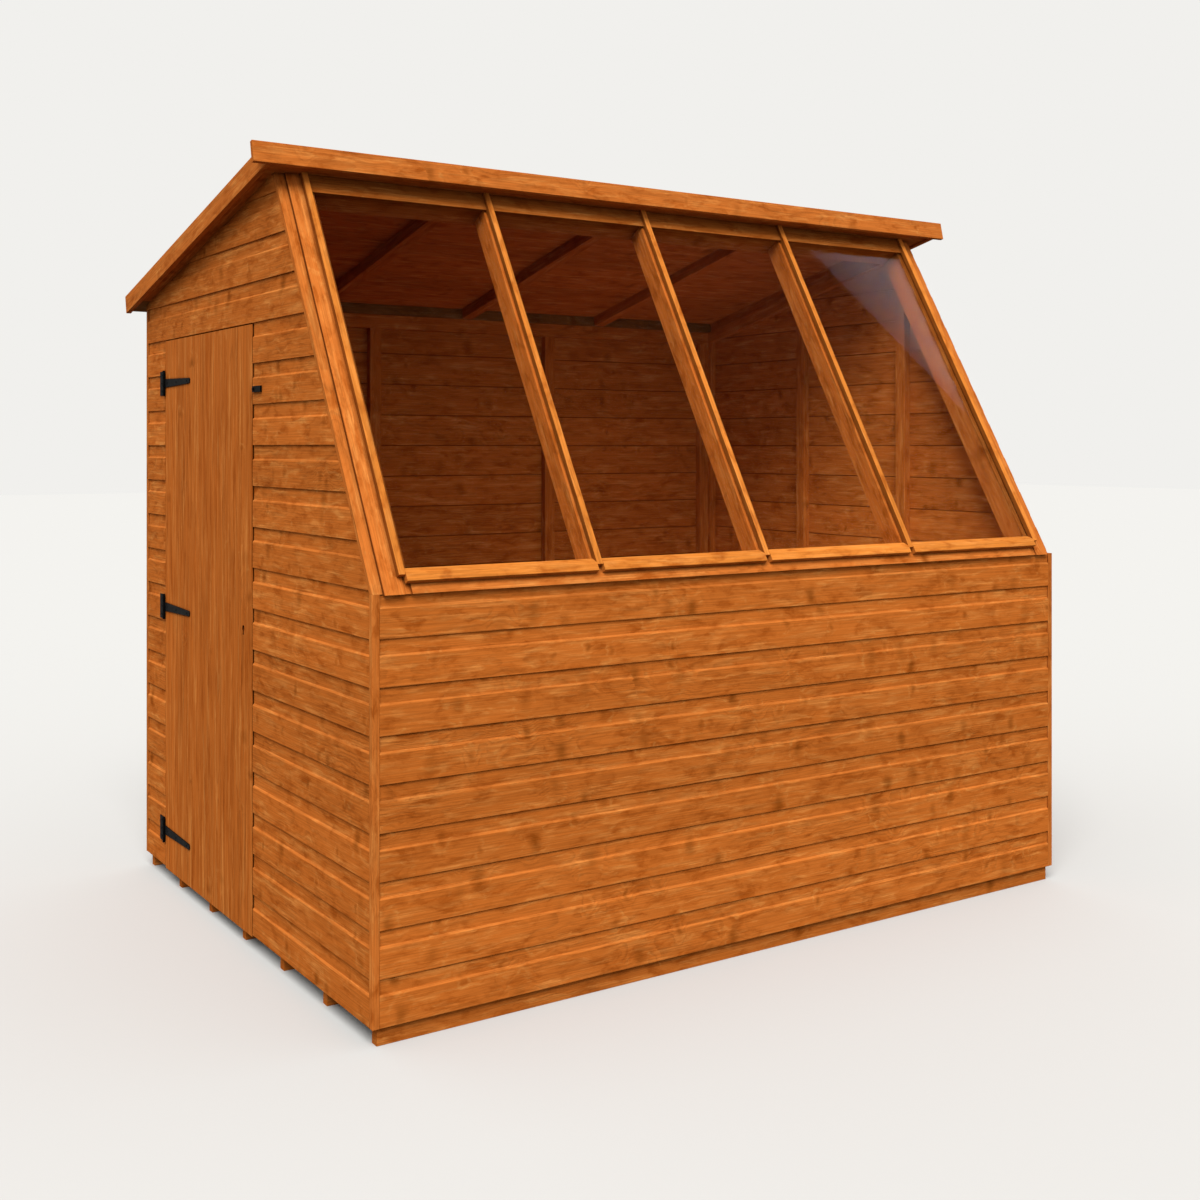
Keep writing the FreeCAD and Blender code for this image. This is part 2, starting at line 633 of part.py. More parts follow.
BEAD_INSET = "(%s + %s)" % (size("cover_half"), size("bead_play"))
BEAD_LONG = "%s - 2 * %s" % (size("bay_pitch"), BEAD_INSET)
sill_bead = [
    ("0", size("sill_bead_foot")),
    ("0", size("sill_bead_top")),
    ("-%s" % size("sill_bead_thick"), size("sill_bead_edge")),
    ("-%s" % size("sill_bead_thick"), size("sill_bead_foot")),
]
head_bead = [
    ("-%s" % size("head_bead_thick"), size("head_bead_foot")),
    ("0", size("head_bead_foot")),
    ("0", slope_top("0")),
    ("-%s" % size("head_bead_thick"), slope_top("-%s" % size("head_bead_thick"))),
]
for label, outline in (("sill_beads", sill_bead), ("head_beads", head_bead)):
    finish(gather(label, [
        prism("%s_%d" % (label, i), "YZ_Plane", outline, "%s + %s" % (bar_centre(i), BEAD_INSET), BEAD_LONG)
        for i in range(BAYS)]), label, "glazing")

# Roof panel. Its own axes: x along the shed, y down the slope, z square to it from its underside.
DECK_X = "(%s - %s)" % (size("barge_thick"), size("barge_reach"))
DECK_LONG = "(%s - 2 * %s)" % (LENGTH, DECK_X)
DECK_FRONT = "(%s + %s)" % (size("fascia_front"), size("fascia_thick"))
ROOF_BACK = size("roof_back")
RAFTER = size("rafter_deep")
FIELD_FRONT = "(%s + %s)" % (DECK_FRONT, size("roof_front_wide"))
FIELD_BACK = "(%s - %s)" % (ROOF_BACK, size("roof_back_wide"))
finish(prism("roof_front_rail", "YZ_Plane", rectangle(DECK_FRONT, "0", FIELD_FRONT, RAFTER),
             DECK_X, DECK_LONG), "roof_front_rail", "roof")
finish(prism("roof_back_rail", "YZ_Plane", rectangle(FIELD_BACK, "0", ROOF_BACK, RAFTER),
             DECK_X, DECK_LONG), "roof_back_rail", "roof")
FIELD_LONG = "%s - %s" % (FIELD_BACK, FIELD_FRONT)
END_RAIL = "%s - %s" % (size("roof_end_inner"), DECK_X)
finish(gather("roof_end_rails", [
    block("roof_end_left", DECK_X, FIELD_FRONT, "0", END_RAIL, FIELD_LONG, RAFTER),
    block("roof_end_right", "%s - %s" % (LENGTH, size("roof_end_inner")), FIELD_FRONT, "0",
          END_RAIL, FIELD_LONG, RAFTER),
]), "roof_end_rails", "roof")
finish(gather("roof_rafters", [
    block("rafter_%d" % i, "%s * %d / %d - %s / 2" % (LENGTH, i, BAYS, size("rafter_wide")),
          FIELD_FRONT, "0", size("rafter_wide"), FIELD_LONG, RAFTER)
    for i in range(1, BAYS)]), "roof_rafters", "roof")
deck_run = gather("deck_run", [
    board(roof_section, "roof_board_%d" % i, turned(Y_AXIS, Z_AXIS), DECK_X,
          "%s + %d * %s" % (DECK_FRONT, i, size("board_pitch")), RAFTER, DECK_LONG)
    for i in range(ROOF_BOARDS)])
deck_area = block("deck_area", DECK_X, DECK_FRONT, RAFTER, DECK_LONG,
                  "%s - %s" % (ROOF_BACK, DECK_FRONT), size("deck_thick"))
finish(combine("Part::Common", "roof_boards", deck_run, deck_area), "roof_boards", "roof")
FELT_FOOT = "(%s + %s)" % (RAFTER, size("deck_thick"))
FELT_TOP = "(%s + %s)" % (FELT_FOOT, size("felt_thick"))
FELT_BACK = "(%s + %s)" % (ROOF_BACK, size("felt_thick"))
finish(prism("roof_felt", "YZ_Plane", [
    (DECK_FRONT, FELT_FOOT),
    (ROOF_BACK, FELT_FOOT),
    (ROOF_BACK, "%s - %s" % (FELT_TOP, size("felt_fold"))),
    (FELT_BACK, "%s - %s" % (FELT_TOP, size("felt_fold"))),
    (FELT_BACK, FELT_TOP),
    (DECK_FRONT, FELT_TOP),
], DECK_X, DECK_LONG), "roof_felt", "roof")
TRIM_FOOT = "-%s" % size("trim_below")
TRIM_TOP = "%s - %s" % (size("trim_wide"), size("trim_below"))
finish(prism("front_fascia", "YZ_Plane", rectangle(size("fascia_front"), TRIM_FOOT, DECK_FRONT, TRIM_TOP),
             "-%s" % size("fascia_reach"), "%s + 2 * %s" % (LENGTH, size("fascia_reach"))),
       "front_fascia", "roof")
finish(gather("barge_boards", [
    block("barge_left", "-%s" % size("barge_reach"), DECK_FRONT, TRIM_FOOT, size("barge_thick"),
          "%s - %s" % (ROOF_BACK, DECK_FRONT), size("trim_wide")),
    block("barge_right", "%s + %s - %s" % (LENGTH, size("barge_reach"), size("barge_thick")), DECK_FRONT,
          TRIM_FOOT, size("barge_thick"), "%s - %s" % (ROOF_BACK, DECK_FRONT), size("trim_wide")),
]), "barge_boards", "roof")

# Door: boards, ledges and braces, with a keyhole through boards and middle ledge.
KEY_Y = size("key_y")
KEY_Z = size("key_z")
LEDGE_FACE = "(%s + %s)" % (size("door_thick"), size("ledge_thick"))
key_hole = doc.addObject("Part::Cylinder", "key_hole")
key_hole.setExpression("Radius", size("key_radius"))
key_hole.setExpression("Height", "%s + 2" % LEDGE_FACE)
key_hole.Placement = FreeCAD.Placement(FreeCAD.Vector(0, 0, 0), FreeCAD.Rotation(Y_AXIS, 90))
place(key_hole, "-1", KEY_Y, KEY_Z)
key_slot = block("key_slot", "-1", "%s - %s / 2" % (KEY_Y, size("key_slot")),
                 "%s - %s" % (KEY_Z, size("key_slot_drop")), "%s + 2" % LEDGE_FACE,
                 size("key_slot"), size("key_slot_drop"))
key_way = doc.addObject("Part::MultiFuse", "key_way")
key_way.Shapes = [key_hole, key_slot]

DOOR_FOOT = "(%s - %s)" % (BASE, size("door_drop"))
DOOR_TOP = "%s + %s" % (DOOR_FOOT, size("door_rise"))
DOOR_WIDE = "%s - %s" % (size("door_hinge_edge"), size("door_latch_edge"))
door_run = gather("door_run", [
    board(door_section, "door_board_%d" % i, turned(Y_AXIS, X_AXIS), "0",
          "%s + %d * %s" % (size("door_latch_edge"), i, DOOR_PITCH), DOOR_TOP, size("door_rise"))
    for i in range(DOOR_BOARDS)])
door_area = block("door_area", "0", size("door_latch_edge"), DOOR_FOOT, size("door_thick"), DOOR_WIDE,
                  size("door_rise"))
door_sheet = combine("Part::Common", "door_sheet", door_run, door_area)
finish(combine("Part::Cut", "door_boards", door_sheet, key_way), "door_boards")


def hinge_z(i):
    """Height of a hinge's middle."""
    return "(%s + %d * %s)" % (size("hinge_first"), i, size("hinge_step"))


ledge_run = gather("ledge_run", [
    block("ledge_%d" % i, size("door_thick"), size("ledge_latch"),
          "%s - %s / 2" % (hinge_z(i), size("ledge_tall")), size("ledge_thick"),
          "%s - %s" % (size("ledge_hinge"), size("ledge_latch")), size("ledge_tall"))
    for i in range(HINGES)])
finish(combine("Part::Cut", "door_ledges", ledge_run, key_way), "door_ledges")
braces = []
for i in range(HINGES - 1):
    low = "%s + %s / 2" % (hinge_z(i), size("ledge_tall"))
    high = "%s - %s / 2" % (hinge_z(i + 1), size("ledge_tall"))
    braces.append(prism("brace_%d" % i, "YZ_Plane", [
        ("%s - %s" % (size("ledge_hinge"), size("brace_foot")), low),
        (size("ledge_hinge"), low),
        ("%s + %s" % (size("ledge_latch"), size("brace_foot")), high),
        (size("ledge_latch"), high),
    ], size("door_thick"), size("ledge_thick")))
finish(gather("door_braces", braces), "door_braces")

# Tee hinges: strap on the door, plate on the wall, pin through three knuckles.
HINGE_X = size("hinge_x")
HINGE_Y = size("hinge_y")
IRON = size("iron_thick")
KNUCKLE = [size("knuckle_radius"), size("bore_radius")]
straps = []
plates = []
pins = []
for i in range(HINGES):
    level = hinge_z(i)
    strap = prism("strap_%d" % i, "YZ_Plane", [
        (size("door_hinge_edge"), "%s - %s" % (level, size("strap_root_half"))),
        (size("door_hinge_edge"), "%s + %s" % (level, size("strap_root_half"))),
        ("%s + %s" % (size("strap_tip"), size("strap_nose")), "%s + %s" % (level, size("strap_tip_half"))),
        (size("strap_tip"), "%s + %s" % (level, size("strap_nose"))),
        (size("strap_tip"), "%s - %s" % (level, size("strap_nose"))),
        ("%s + %s" % (size("strap_tip"), size("strap_nose")), "%s - %s" % (level, size("strap_tip_half"))),
    ], "-%s" % IRON, IRON)
    half = size("strap_knuckle_half")
    knuckle = body_sketch(strap, "strap_knuckle_%d" % i, "XY_Plane", "%s - %s" % (level, half))
    ring(knuckle, HINGE_X, HINGE_Y, KNUCKLE)
    pad(strap, knuckle, "2 * %s" % half)
    straps.append(strap)

    top = "%s + %s" % (level, size("plate_half"))
    foot = "%s - %s" % (level, size("plate_half"))
    upper = "%s + %s" % (level, size("plate_knuckle_near"))
    lower = "%s - %s" % (level, size("plate_knuckle_near"))
    plate = prism("plate_%d" % i, "YZ_Plane", [
        (size("leaf_near"), foot),
        (size("plate_end"), foot),
        (size("plate_end"), top),
        (size("leaf_near"), top),
        (size("leaf_near"), upper),
        (size("plate_near"), upper),
        (size("plate_near"), lower),
        (size("leaf_near"), lower),
    ], "-%s" % IRON, IRON)
    for name, start in (("upper", upper), ("lower", foot)):
        knuckle = body_sketch(plate, "plate_knuckle_%s_%d" % (name, i), "XY_Plane", start)
        ring(knuckle, HINGE_X, HINGE_Y, KNUCKLE)
        pad(plate, knuckle, "%s - %s" % (size("plate_half"), size("plate_knuckle_near")))
    plates.append(plate)

    pin = doc.addObject("PartDesign::Body", "pin_%d" % i)
    for name, start, length, radius in (
            ("shank", foot, "2 * %s" % size("plate_half"), size("pin_radius")),
            ("cap", top, size("pin_head_thick"), size("pin_head")),
            ("base", "%s - %s" % (foot, size("pin_head_thick")), size("pin_head_thick"), size("pin_head"))):
        disc = body_sketch(pin, "pin_%s_%d" % (name, i), "XY_Plane", start)
        ring(disc, HINGE_X, HINGE_Y, [radius])
        pad(pin, disc, length)
    pins.append(pin)
finish(gather("hinge_straps", straps), "hinge_straps")
finish(gather("hinge_plates", plates), "hinge_plates")
finish(gather("hinge_pins", pins), "hinge_pins")

# Rim lock on the middle ledge: case with a channel, sliding bolt, keep on the post.
PLAY = size("bolt_play")
BOLT_FAR = "(%s + %s)" % (size("bolt_near"), size("bolt_thick"))
BOLT_END = "(%s + %s)" % (size("bolt_tip"), size("bolt_long"))
case = prism("lock_case", "YZ_Plane", rectangle(
    size("case_latch"), "%s - %s" % (KEY_Z, size("case_half")),
    "%s + %s" % (size("case_latch"), size("case_long")), "%s + %s" % (KEY_Z, size("case_half"))),
    LEDGE_FACE, size("case_thick"))
channel = body_sketch(case, "case_channel", "XY_Plane",
                      "%s - %s - %s" % (KEY_Z, size("bolt_half"), PLAY))
draw(channel, rectangle("%s - %s" % (size("bolt_near"), PLAY), "%s - 1" % size("case_latch"),
                        "%s + %s" % (BOLT_FAR, PLAY), "%s + %s" % (BOLT_END, size("bolt_room"))))
pocket(case, channel, "2 * (%s + %s)" % (size("bolt_half"), PLAY))
finish(case, "lock_case")
finish(prism("lock_bolt", "XY_Plane", rectangle(size("bolt_near"), size("bolt_tip"), BOLT_FAR, BOLT_END),
             "%s - %s" % (KEY_Z, size("bolt_half")), "2 * %s" % size("bolt_half")), "lock_bolt")
keep = prism("lock_keep", "YZ_Plane", rectangle(
    size("keep_near"), "%s - %s" % (KEY_Z, size("keep_half")), LATCH_FAR,
    "%s + %s" % (KEY_Z, size("keep_half"))), INNER, size("keep_thick"))
mouth = body_sketch(keep, "keep_mouth", "XY_Plane", "%s - %s - %s" % (KEY_Z, size("bolt_half"), PLAY))
draw(mouth, rectangle("%s - %s" % (size("bolt_near"), PLAY),
                      "%s - %s" % (LATCH_FAR, size("keep_pocket")), "%s + %s" % (BOLT_FAR, PLAY),
                      "%s + 1" % LATCH_FAR))
pocket(keep, mouth, "2 * (%s + %s)" % (size("bolt_half"), PLAY))
finish(keep, "lock_keep")

# Turn button on the latch post, turned clear of the door, and the screw it turns on.
BUTTON_Y = size("button_y")
BUTTON_Z = size("button_z")
BUTTON_BACK = "-(%s + %s)" % (size("button_gap"), size("button_thick"))
BUTTON_HALF = size("button_half")
button = prism("turn_button", "YZ_Plane", rectangle(
    "%s - %s" % (BUTTON_Y, size("button_arm")), "%s - %s" % (BUTTON_Z, BUTTON_HALF),
    "%s + %s" % (BUTTON_Y, BUTTON_HALF), "%s + %s" % (BUTTON_Z, BUTTON_HALF)),
    BUTTON_BACK, size("button_thick"))
hole = body_sketch(button, "button_hole", "YZ_Plane", BUTTON_BACK)
ring(hole, BUTTON_Y, BUTTON_Z, [size("button_bore")])
pocket(button, hole, size("button_thick"))
finish(button, "turn_button")
screw = doc.addObject("PartDesign::Body", "turn_button_screw")
HEAD_START = "%s - %s" % (BUTTON_BACK, size("screw_head_thick"))
for name, start, length, radius in (
        ("shank", BUTTON_BACK, size("screw_long"), size("screw_radius")),
        ("head", HEAD_START, size("screw_head_thick"), size("screw_head"))):
    disc = body_sketch(screw, "screw_" + name, "YZ_Plane", start)
    ring(disc, BUTTON_Y, BUTTON_Z, [radius])
    pad(screw, disc, length)
finish(screw, "turn_button_screw")

doc.recompute()
for obj in doc.Objects:
    assert not {"Invalid", "Error"} & set(obj.State), (obj.Label, obj.State)
os.makedirs("parts", exist_ok=True)
for node in nodes:
    shape = node.Shape
    assert not shape.isNull() and shape.isValid() and shape.Solids, node.Label
    shape.exportStep("parts/%s.step" % node.Label)
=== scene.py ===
"""Looks of the potting shed: dip-treated softwood, clear glass, black iron and roofing felt."""
import logging
import math
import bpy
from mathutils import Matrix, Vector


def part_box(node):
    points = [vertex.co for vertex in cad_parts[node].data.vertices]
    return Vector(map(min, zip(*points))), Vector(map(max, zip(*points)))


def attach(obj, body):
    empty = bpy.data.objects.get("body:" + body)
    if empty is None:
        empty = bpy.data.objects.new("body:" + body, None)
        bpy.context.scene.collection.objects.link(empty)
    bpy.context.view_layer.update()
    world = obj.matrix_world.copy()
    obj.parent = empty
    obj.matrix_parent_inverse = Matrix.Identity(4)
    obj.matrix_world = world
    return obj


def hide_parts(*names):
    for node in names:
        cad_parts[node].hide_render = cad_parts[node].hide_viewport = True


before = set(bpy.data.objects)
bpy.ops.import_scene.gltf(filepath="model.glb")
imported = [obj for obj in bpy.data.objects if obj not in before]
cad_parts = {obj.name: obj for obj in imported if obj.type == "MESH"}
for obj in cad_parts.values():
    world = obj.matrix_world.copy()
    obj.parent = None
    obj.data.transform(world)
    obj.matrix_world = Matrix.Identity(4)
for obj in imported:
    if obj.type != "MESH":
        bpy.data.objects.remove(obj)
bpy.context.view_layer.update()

import zlib
from dataclasses import dataclass, field
from enum import Enum

import bmesh
import bpy
import numpy as np

log = logging.getLogger("potting_shed")

MM = 0.001
# Rounded edges of frame timbers and of thin boards.
FRAME_ARRIS = 1.2 * MM
BOARD_ARRIS = 0.8 * MM
# Chamfer on the room side of the cladding, where the joints show as dark lines.
ROOM_CHAMFER = 1.8 * MM
GLAZING_LEAN = math.radians(30.0)
ROOF_PITCH = math.radians(12.57)
# Shed corner in the shared frame: x from the door end's face, y from the front wall's face.
CORNER = np.array((-1.198, -0.93749, 0.0))
# Middle of the keyhole in depth and height, how far its walls reach, and how strong the painted shade
# on them is.
KEYHOLE = CORNER[1:] + (0.863, 0.890)
KEYHOLE_REACH = 22.0 * MM
KEYHOLE_SHADE = 1.4
# A foot that is cut square to a leaning timber lies within this height.
FOOT_REACH = 20.0 * MM
# Points of a CAD mesh this close are one, and facets this flat are one face.
SAME_POINT = 0.01 * MM
FLAT_ANGLE = math.radians(0.5)
# Edges that turn by more than this are rounded, where both faces are wider than some arrises.
SHARP_ANGLE = math.radians(25.0)
ARRIS_ROOM = 3.2
# Cosine above which two directions count as the same, and above which a face is a cut end.
ALIGNED = 0.98
CUT_END = 0.6
# Cosines to the wall's own direction between which a face counts as sloping.
SLOPE = (0.3, 0.95)
# Blotches per metre along, across and through a board: pull of the figure, torn grain, drift
# of the rings, and knot sites. The pull's full swing and the rings' shifts are in metres.
PULL_STEP = (16.0, 38.0, 20.0)
PULL_REACH = (40.0 * MM, 24.0 * MM, 0.0)
TORN_STEP = (34.0, 60.0, 34.0)
DRIFT_STEP = (3.0, 9.0, 9.0)
RING_DRIFT = 50.0 * MM
RING_SWELL = 10.0 * MM
KNOT_SITES = (1 / 0.10, 1 / 0.15, 0.0)
# Shift in blotches that keeps the haze off the smudges.
HAZE_SHIFT = (7.3, 2.1, 5.7)
# A board's figure starts anywhere in TRUNK_LENGTH. Its middle lies off the tree's heart by up to
# half of HEART_SIDE across the board, and by HEART_LEAST and a part of HEART_DEPTH through it.
TRUNK_LENGTH = 40.0
HEART_SIDE = 0.08
HEART_DEPTH = 0.05
HEART_LEAST = 0.025

# What a shader input may be given.
Feed = bpy.types.Node | bpy.types.NodeSocket | float | tuple[float, ...]


def linear(colour: str) -> tuple[float, float, float, float]:
    """Turn an sRGB hex colour into linear light.

    Args:
        colour: six hex digits after a hash sign.

    Returns:
        Red, green and blue in linear light, with full alpha.
    """
    parts = np.array([int(colour[i:i + 2], 16) for i in (1, 3, 5)]) / 255.0
    light = np.where(parts <= 0.04045, parts / 12.92, ((parts + 0.055) / 1.055) ** 2.4)
    return (float(light[0]), float(light[1]), float(light[2]), 1.0)


def add(tree: bpy.types.NodeTree, kind: str, feeds: dict, **settings) -> bpy.types.Node:
    """Add one shader node with its settings and links.

    Args:
        tree: node tree that gets the node.
        kind: node type without its common prefix.
        feeds: input name or number to a value, a socket, or a node whose first live output is used.
        settings: properties of the node itself.

    Returns:
        The new node.
    """
    node = tree.nodes.new("ShaderNode" + kind)
    for name, value in settings.items():
        setattr(node, name, value)
    for key, value in feeds.items():
        if isinstance(value, bpy.types.Node):
            value = next(out for out in value.outputs if out.enabled)
        if isinstance(value, bpy.types.NodeSocket):
            tree.links.new(value, node.inputs[key])
        else:
            node.inputs[key].default_value = value
    return node


def fresh_material(name: str) -> tuple[bpy.types.Material, bpy.types.NodeTree]:
    """Make an empty node material.

    Args:
        name: material name.

    Returns:
        The material and its node tree with nothing in it.
    """
    material = bpy.data.materials.new(name)
    material.use_nodes = True
    material.node_tree.nodes.clear()
    return material, material.node_tree


def attribute(tree: bpy.types.NodeTree, name: str, output: str = "Fac") -> bpy.types.NodeSocket:
    """Read an attribute of the mesh, as a number or as a vector."""
    return add(tree, "Attribute", {}, attribute_name=name).outputs[output]


def times(tree: bpy.types.NodeTree, first: Feed, second: Feed) -> bpy.types.Node:
    """Multiply two values."""
    return add(tree, "Math", {0: first, 1: second}, operation="MULTIPLY")


def plus(tree: bpy.types.NodeTree, base: Feed, pattern: Feed, share: float) -> bpy.types.Node:
    """Raise a base by a share of a pattern."""
    return add(tree, "Math", {0: pattern, 1: share, 2: base}, operation="MULTIPLY_ADD")


def blend(tree: bpy.types.NodeTree, share: Feed, first: Feed, second: Feed) -> bpy.types.Node:
    """Mix two colours by the share of the second."""
    return add(tree, "Mix", {0: share, 6: first, 7: second}, data_type="RGBA")


def ramp(tree: bpy.types.NodeTree, value: Feed, start: float, stop: float, low: float = 0.0,
         high: float = 1.0, shape: str = "LINEAR") -> bpy.types.Node:
    """Let a value climb from low at the start to high at the stop, and hold it beyond them.

    Args:
        tree: node tree that gets the ramp.
        value: what the ramp reads.
        start: reading that gives low.
        stop: reading that gives high, which may lie below the start.
        low: result at the start.
        high: result at the stop.
        shape: straight climb, or one that eases in and out.

    Returns:
        The new node.
    """
    return add(tree, "MapRange", {"Value": value, "From Min": start, "From Max": stop,
                                  "To Min": low, "To Max": high}, interpolation_type=shape)


def per_metre(size_mm: tuple[float, float]) -> tuple[float, float, float]:
    """Blotches per metre along, across and through a board, from their length and width in mm."""
    along, across = (1.0 / (side * MM) for side in size_mm)
    return (along, across, across)


def noise(tree: bpy.types.NodeTree, place: Feed, step: tuple[float, float, float], detail: float,
          roughness: float = 0.5, distortion: float = 0.0,
          shift: tuple[float, float, float] = (0.0, 0.0, 0.0)) -> bpy.types.Node:
    """Draw cloudy noise with blotches of a given size.

    Args:
        tree: node tree that gets the noise.
        place: coordinates in metres.
        step: blotches per metre in each direction.
        detail: number of finer layers.
        roughness: strength of the finer layers.
        distortion: how far the noise twists itself.
        shift: moves the noise, in blotches.

    Returns:
        The new noise node.
    """
    spread = add(tree, "VectorMath", {0: place, 1: step, 2: shift}, operation="MULTIPLY_ADD")
    return add(tree, "TexNoise", {"Vector": spread, "Scale": 1.0, "Detail": detail,
                                  "Roughness": roughness, "Distortion": distortion})


class Run(Enum):
    """Direction in which the fibres of a timber run."""

    LENGTH = (1.0, 0.0, 0.0)
    DEPTH = (0.0, 1.0, 0.0)
    HEIGHT = (0.0, 0.0, 1.0)
    RAKE = (0.0, math.sin(GLAZING_LEAN), math.cos(GLAZING_LEAN))
    PITCH = (0.0, math.cos(ROOF_PITCH), -math.sin(ROOF_PITCH))
    BRACE = (0.0, -0.728, 0.685)

    def axes(self) -> np.ndarray:
        """Rows: along the fibres, and the two directions square to them."""
        along = np.array(self.value) / np.linalg.norm(self.value)
        side = np.array((0.0, 1.0, 0.0)) if self is Run.LENGTH else np.array((1.0, 0.0, 0.0))
        return np.array((along, side, np.cross(along, side)))


@dataclass(frozen=True)
class Finish:
    """Look of one real material, made once and shared by its pieces."""

    name: str

    def material(self) -> bpy.types.Material:
        """Find or make the node material.

        Returns:
            The shared material of this finish.
        """
        return bpy.data.materials.get(self.name) or self.mix()

    def mix(self) -> bpy.types.Material:
        """Make the node material, which each finish does in its own way."""
        raise NotImplementedError


@dataclass(frozen=True)
class DippedSoftwood(Finish):
    """Planed spruce boards dipped in an orange-brown water-based stain.

    The stain soaks in unevenly, so the eye gets saturated amber smudges, hazy tan patches, fine
    streaks along the fibres, smudged brown knots that reach across the grain with pale torn
    crescents round them, and a matt surface. Fibre streaks are drawn 3 to 6 mm wide, far coarser
    than real fibres, so that they show.
    """

    middle: str = "#B26023"
    soaked: str = "#8C400B"
    haze: str = "#CE8743"
    knot: str = "#6A3204"
    feather: str = "#D2934C"
    # Colour of the painted shade on shaded sides, room-side chamfers and the keyhole's walls.
    painted_shade: str = "#5A2707"
    soak_mm: tuple[float, float] = (75.0, 30.0)
    soak_depth: float = 0.80
    haze_mm: tuple[float, float] = (130.0, 20.0)
    haze_depth: float = 0.64
    streak_mm: tuple[float, float] = (160.0, 3.2)
    streak_depth: float = 0.24
    ring_mm: float = 7.0
    ring_depth: float = 0.18
    knot_share: float = 0.75
    knot_depth: float = 0.62
    tone_spread: float = 0.14
    # Painted shade in tone on the cladding's sloping shoulders.
    shoulder_shade: float = 0.08
    # Share and reach of the painted shade from ambient occlusion, in inner corners and under overhangs.
    corner_shade: float = 0.0
    corner_shade_mm: float = 14.0
    roughness: float = 0.75

    def mix(self) -> bpy.types.Material:
        """Draw stain, knots, rings and fibre streaks from the board's own grain coordinates.

        Returns:
            The new material.
        """
        material, tree = fresh_material(self.name)
        grain = attribute(tree, "grain", "Vector")
        pulled = self.pull(tree, grain)
        streak = noise(tree, grain, per_metre(self.streak_mm), 4.0, 0.6)
        core, halo, feather = self.grow_knots(tree, pulled)
        ring = self.grow_rings(tree, grain, pulled, halo)
        body = self.soak_in(tree, pulled, streak)
        body = blend(tree, core, body, linear(self.knot))
        body = blend(tree, feather, body, linear(self.feather))
        body = self.treat_faces(tree, body)
        body = add(tree, "VectorMath", {0: body, "Scale": self.shade(tree, streak, ring)},
                   operation="SCALE")
        height = plus(tree, plus(tree, streak, ring, 0.6), core, 0.8)
        relief = add(tree, "Bump", {"Height": height, "Strength": 0.22, "Distance": 0.5 * MM})
        surface = add(tree, "BsdfPrincipled", {"Base Color": body, "Roughness": self.roughness,
                                               "Normal": relief, "Specular IOR Level": 0.01})
        add(tree, "OutputMaterial", {"Surface": surface})
        return material

    def pull(self, tree: bpy.types.NodeTree, grain: Feed) -> bpy.types.Node:
        """Pull the figure about by up to 20 mm over some 60 mm of length.

        Args:
            tree: node tree of the material.
            grain: place along, across and through the board.

        Returns:
            The pulled place.
        """
        pull = noise(tree, grain, PULL_STEP, 4.0, 0.62)
        middle = add(tree, "VectorMath", {0: pull.outputs["Color"], 1: (0.5, 0.5, 0.5)},
                     operation="SUBTRACT")
        return add(tree, "VectorMath", {0: middle, 1: PULL_REACH, 2: grain}, operation="MULTIPLY_ADD")

    def soak_in(self, tree: bpy.types.NodeTree, pulled: Feed, streak: Feed) -> bpy.types.Node:
        """Colour the smudges where stain soaked in deeper, and the haze where it hardly did.

        Args:
            tree: node tree of the material.
            pulled: pulled place in the board.
            streak: fibre streaks, along which the haze is brushed.

        Returns:
            The stained colour.
        """
        soak = noise(tree, pulled, per_metre(self.soak_mm), 5.0, 0.6, 0.5)
        soak = ramp(tree, soak, 0.44, 0.74, high=self.soak_depth, shape="SMOOTHSTEP")
        haze = noise(tree, pulled, per_metre(self.haze_mm), 5.0, 0.6, 0.5, HAZE_SHIFT)
        haze = ramp(tree, haze, 0.46, 0.78, high=self.haze_depth, shape="SMOOTHSTEP")
        haze = times(tree, haze, ramp(tree, streak, 0.3, 0.7, 0.55, 1.3))
        body = blend(tree, soak, linear(self.middle), linear(self.soaked))
        return blend(tree, haze, body, linear(self.haze))

    def grow_knots(self, tree: bpy.types.NodeTree, pulled: Feed) -> tuple[bpy.types.Node, ...]:
        """Draw knots that are longer across the grain than along it.

        There is one site per 100 by 150 mm of board, and a share of the sites holds a knot. Pale
        torn grain shows as broken crescents round a knot, about 5 mm wide.

        Args:
            tree: node tree of the material.
            pulled: pulled place in the board.

        Returns:
            Depth of the knots, nearness to them, and depth of the torn grain.
        """
        place = add(tree, "VectorMath", {0: pulled, 1: KNOT_SITES}, operation="MULTIPLY")
        site = add(tree, "TexVoronoi", {"Vector": place, "Scale": 1.0, "Randomness": 1.0},
                   voronoi_dimensions="2D")
        draw = add(tree, "SeparateColor", {0: site.outputs["Color"]})
        held = add(tree, "Math", {0: draw.outputs["Red"], 1: self.knot_share}, operation="LESS_THAN")
        girth = ramp(tree, draw.outputs["Green"], 0.0, 1.0, 0.07, 0.19)
        far = add(tree, "Math", {0: site.outputs["Distance"], 1: girth}, operation="DIVIDE")
        depth = add(tree, "Math", {0: draw.outputs["Blue"], 1: 2.0}, operation="POWER")
        depth = times(tree, ramp(tree, depth, 0.0, 1.0, 0.25, self.knot_depth), held)
        core = times(tree, ramp(tree, far, 1.5, 0.1, shape="SMOOTHSTEP"), depth)
        halo = times(tree, ramp(tree, far, 4.5, 0.8, shape="SMOOTHERSTEP"), held)
        rim = times(tree, ramp(tree, far, 1.2, 1.9, shape="SMOOTHSTEP"),
                    ramp(tree, far, 2.7, 2.0, shape="SMOOTHSTEP"))
        torn = ramp(tree, noise(tree, pulled, TORN_STEP, 3.0, distortion=1.0), 0.50, 0.72, high=0.30)
        return core, halo, times(tree, times(tree, rim, held), torn)

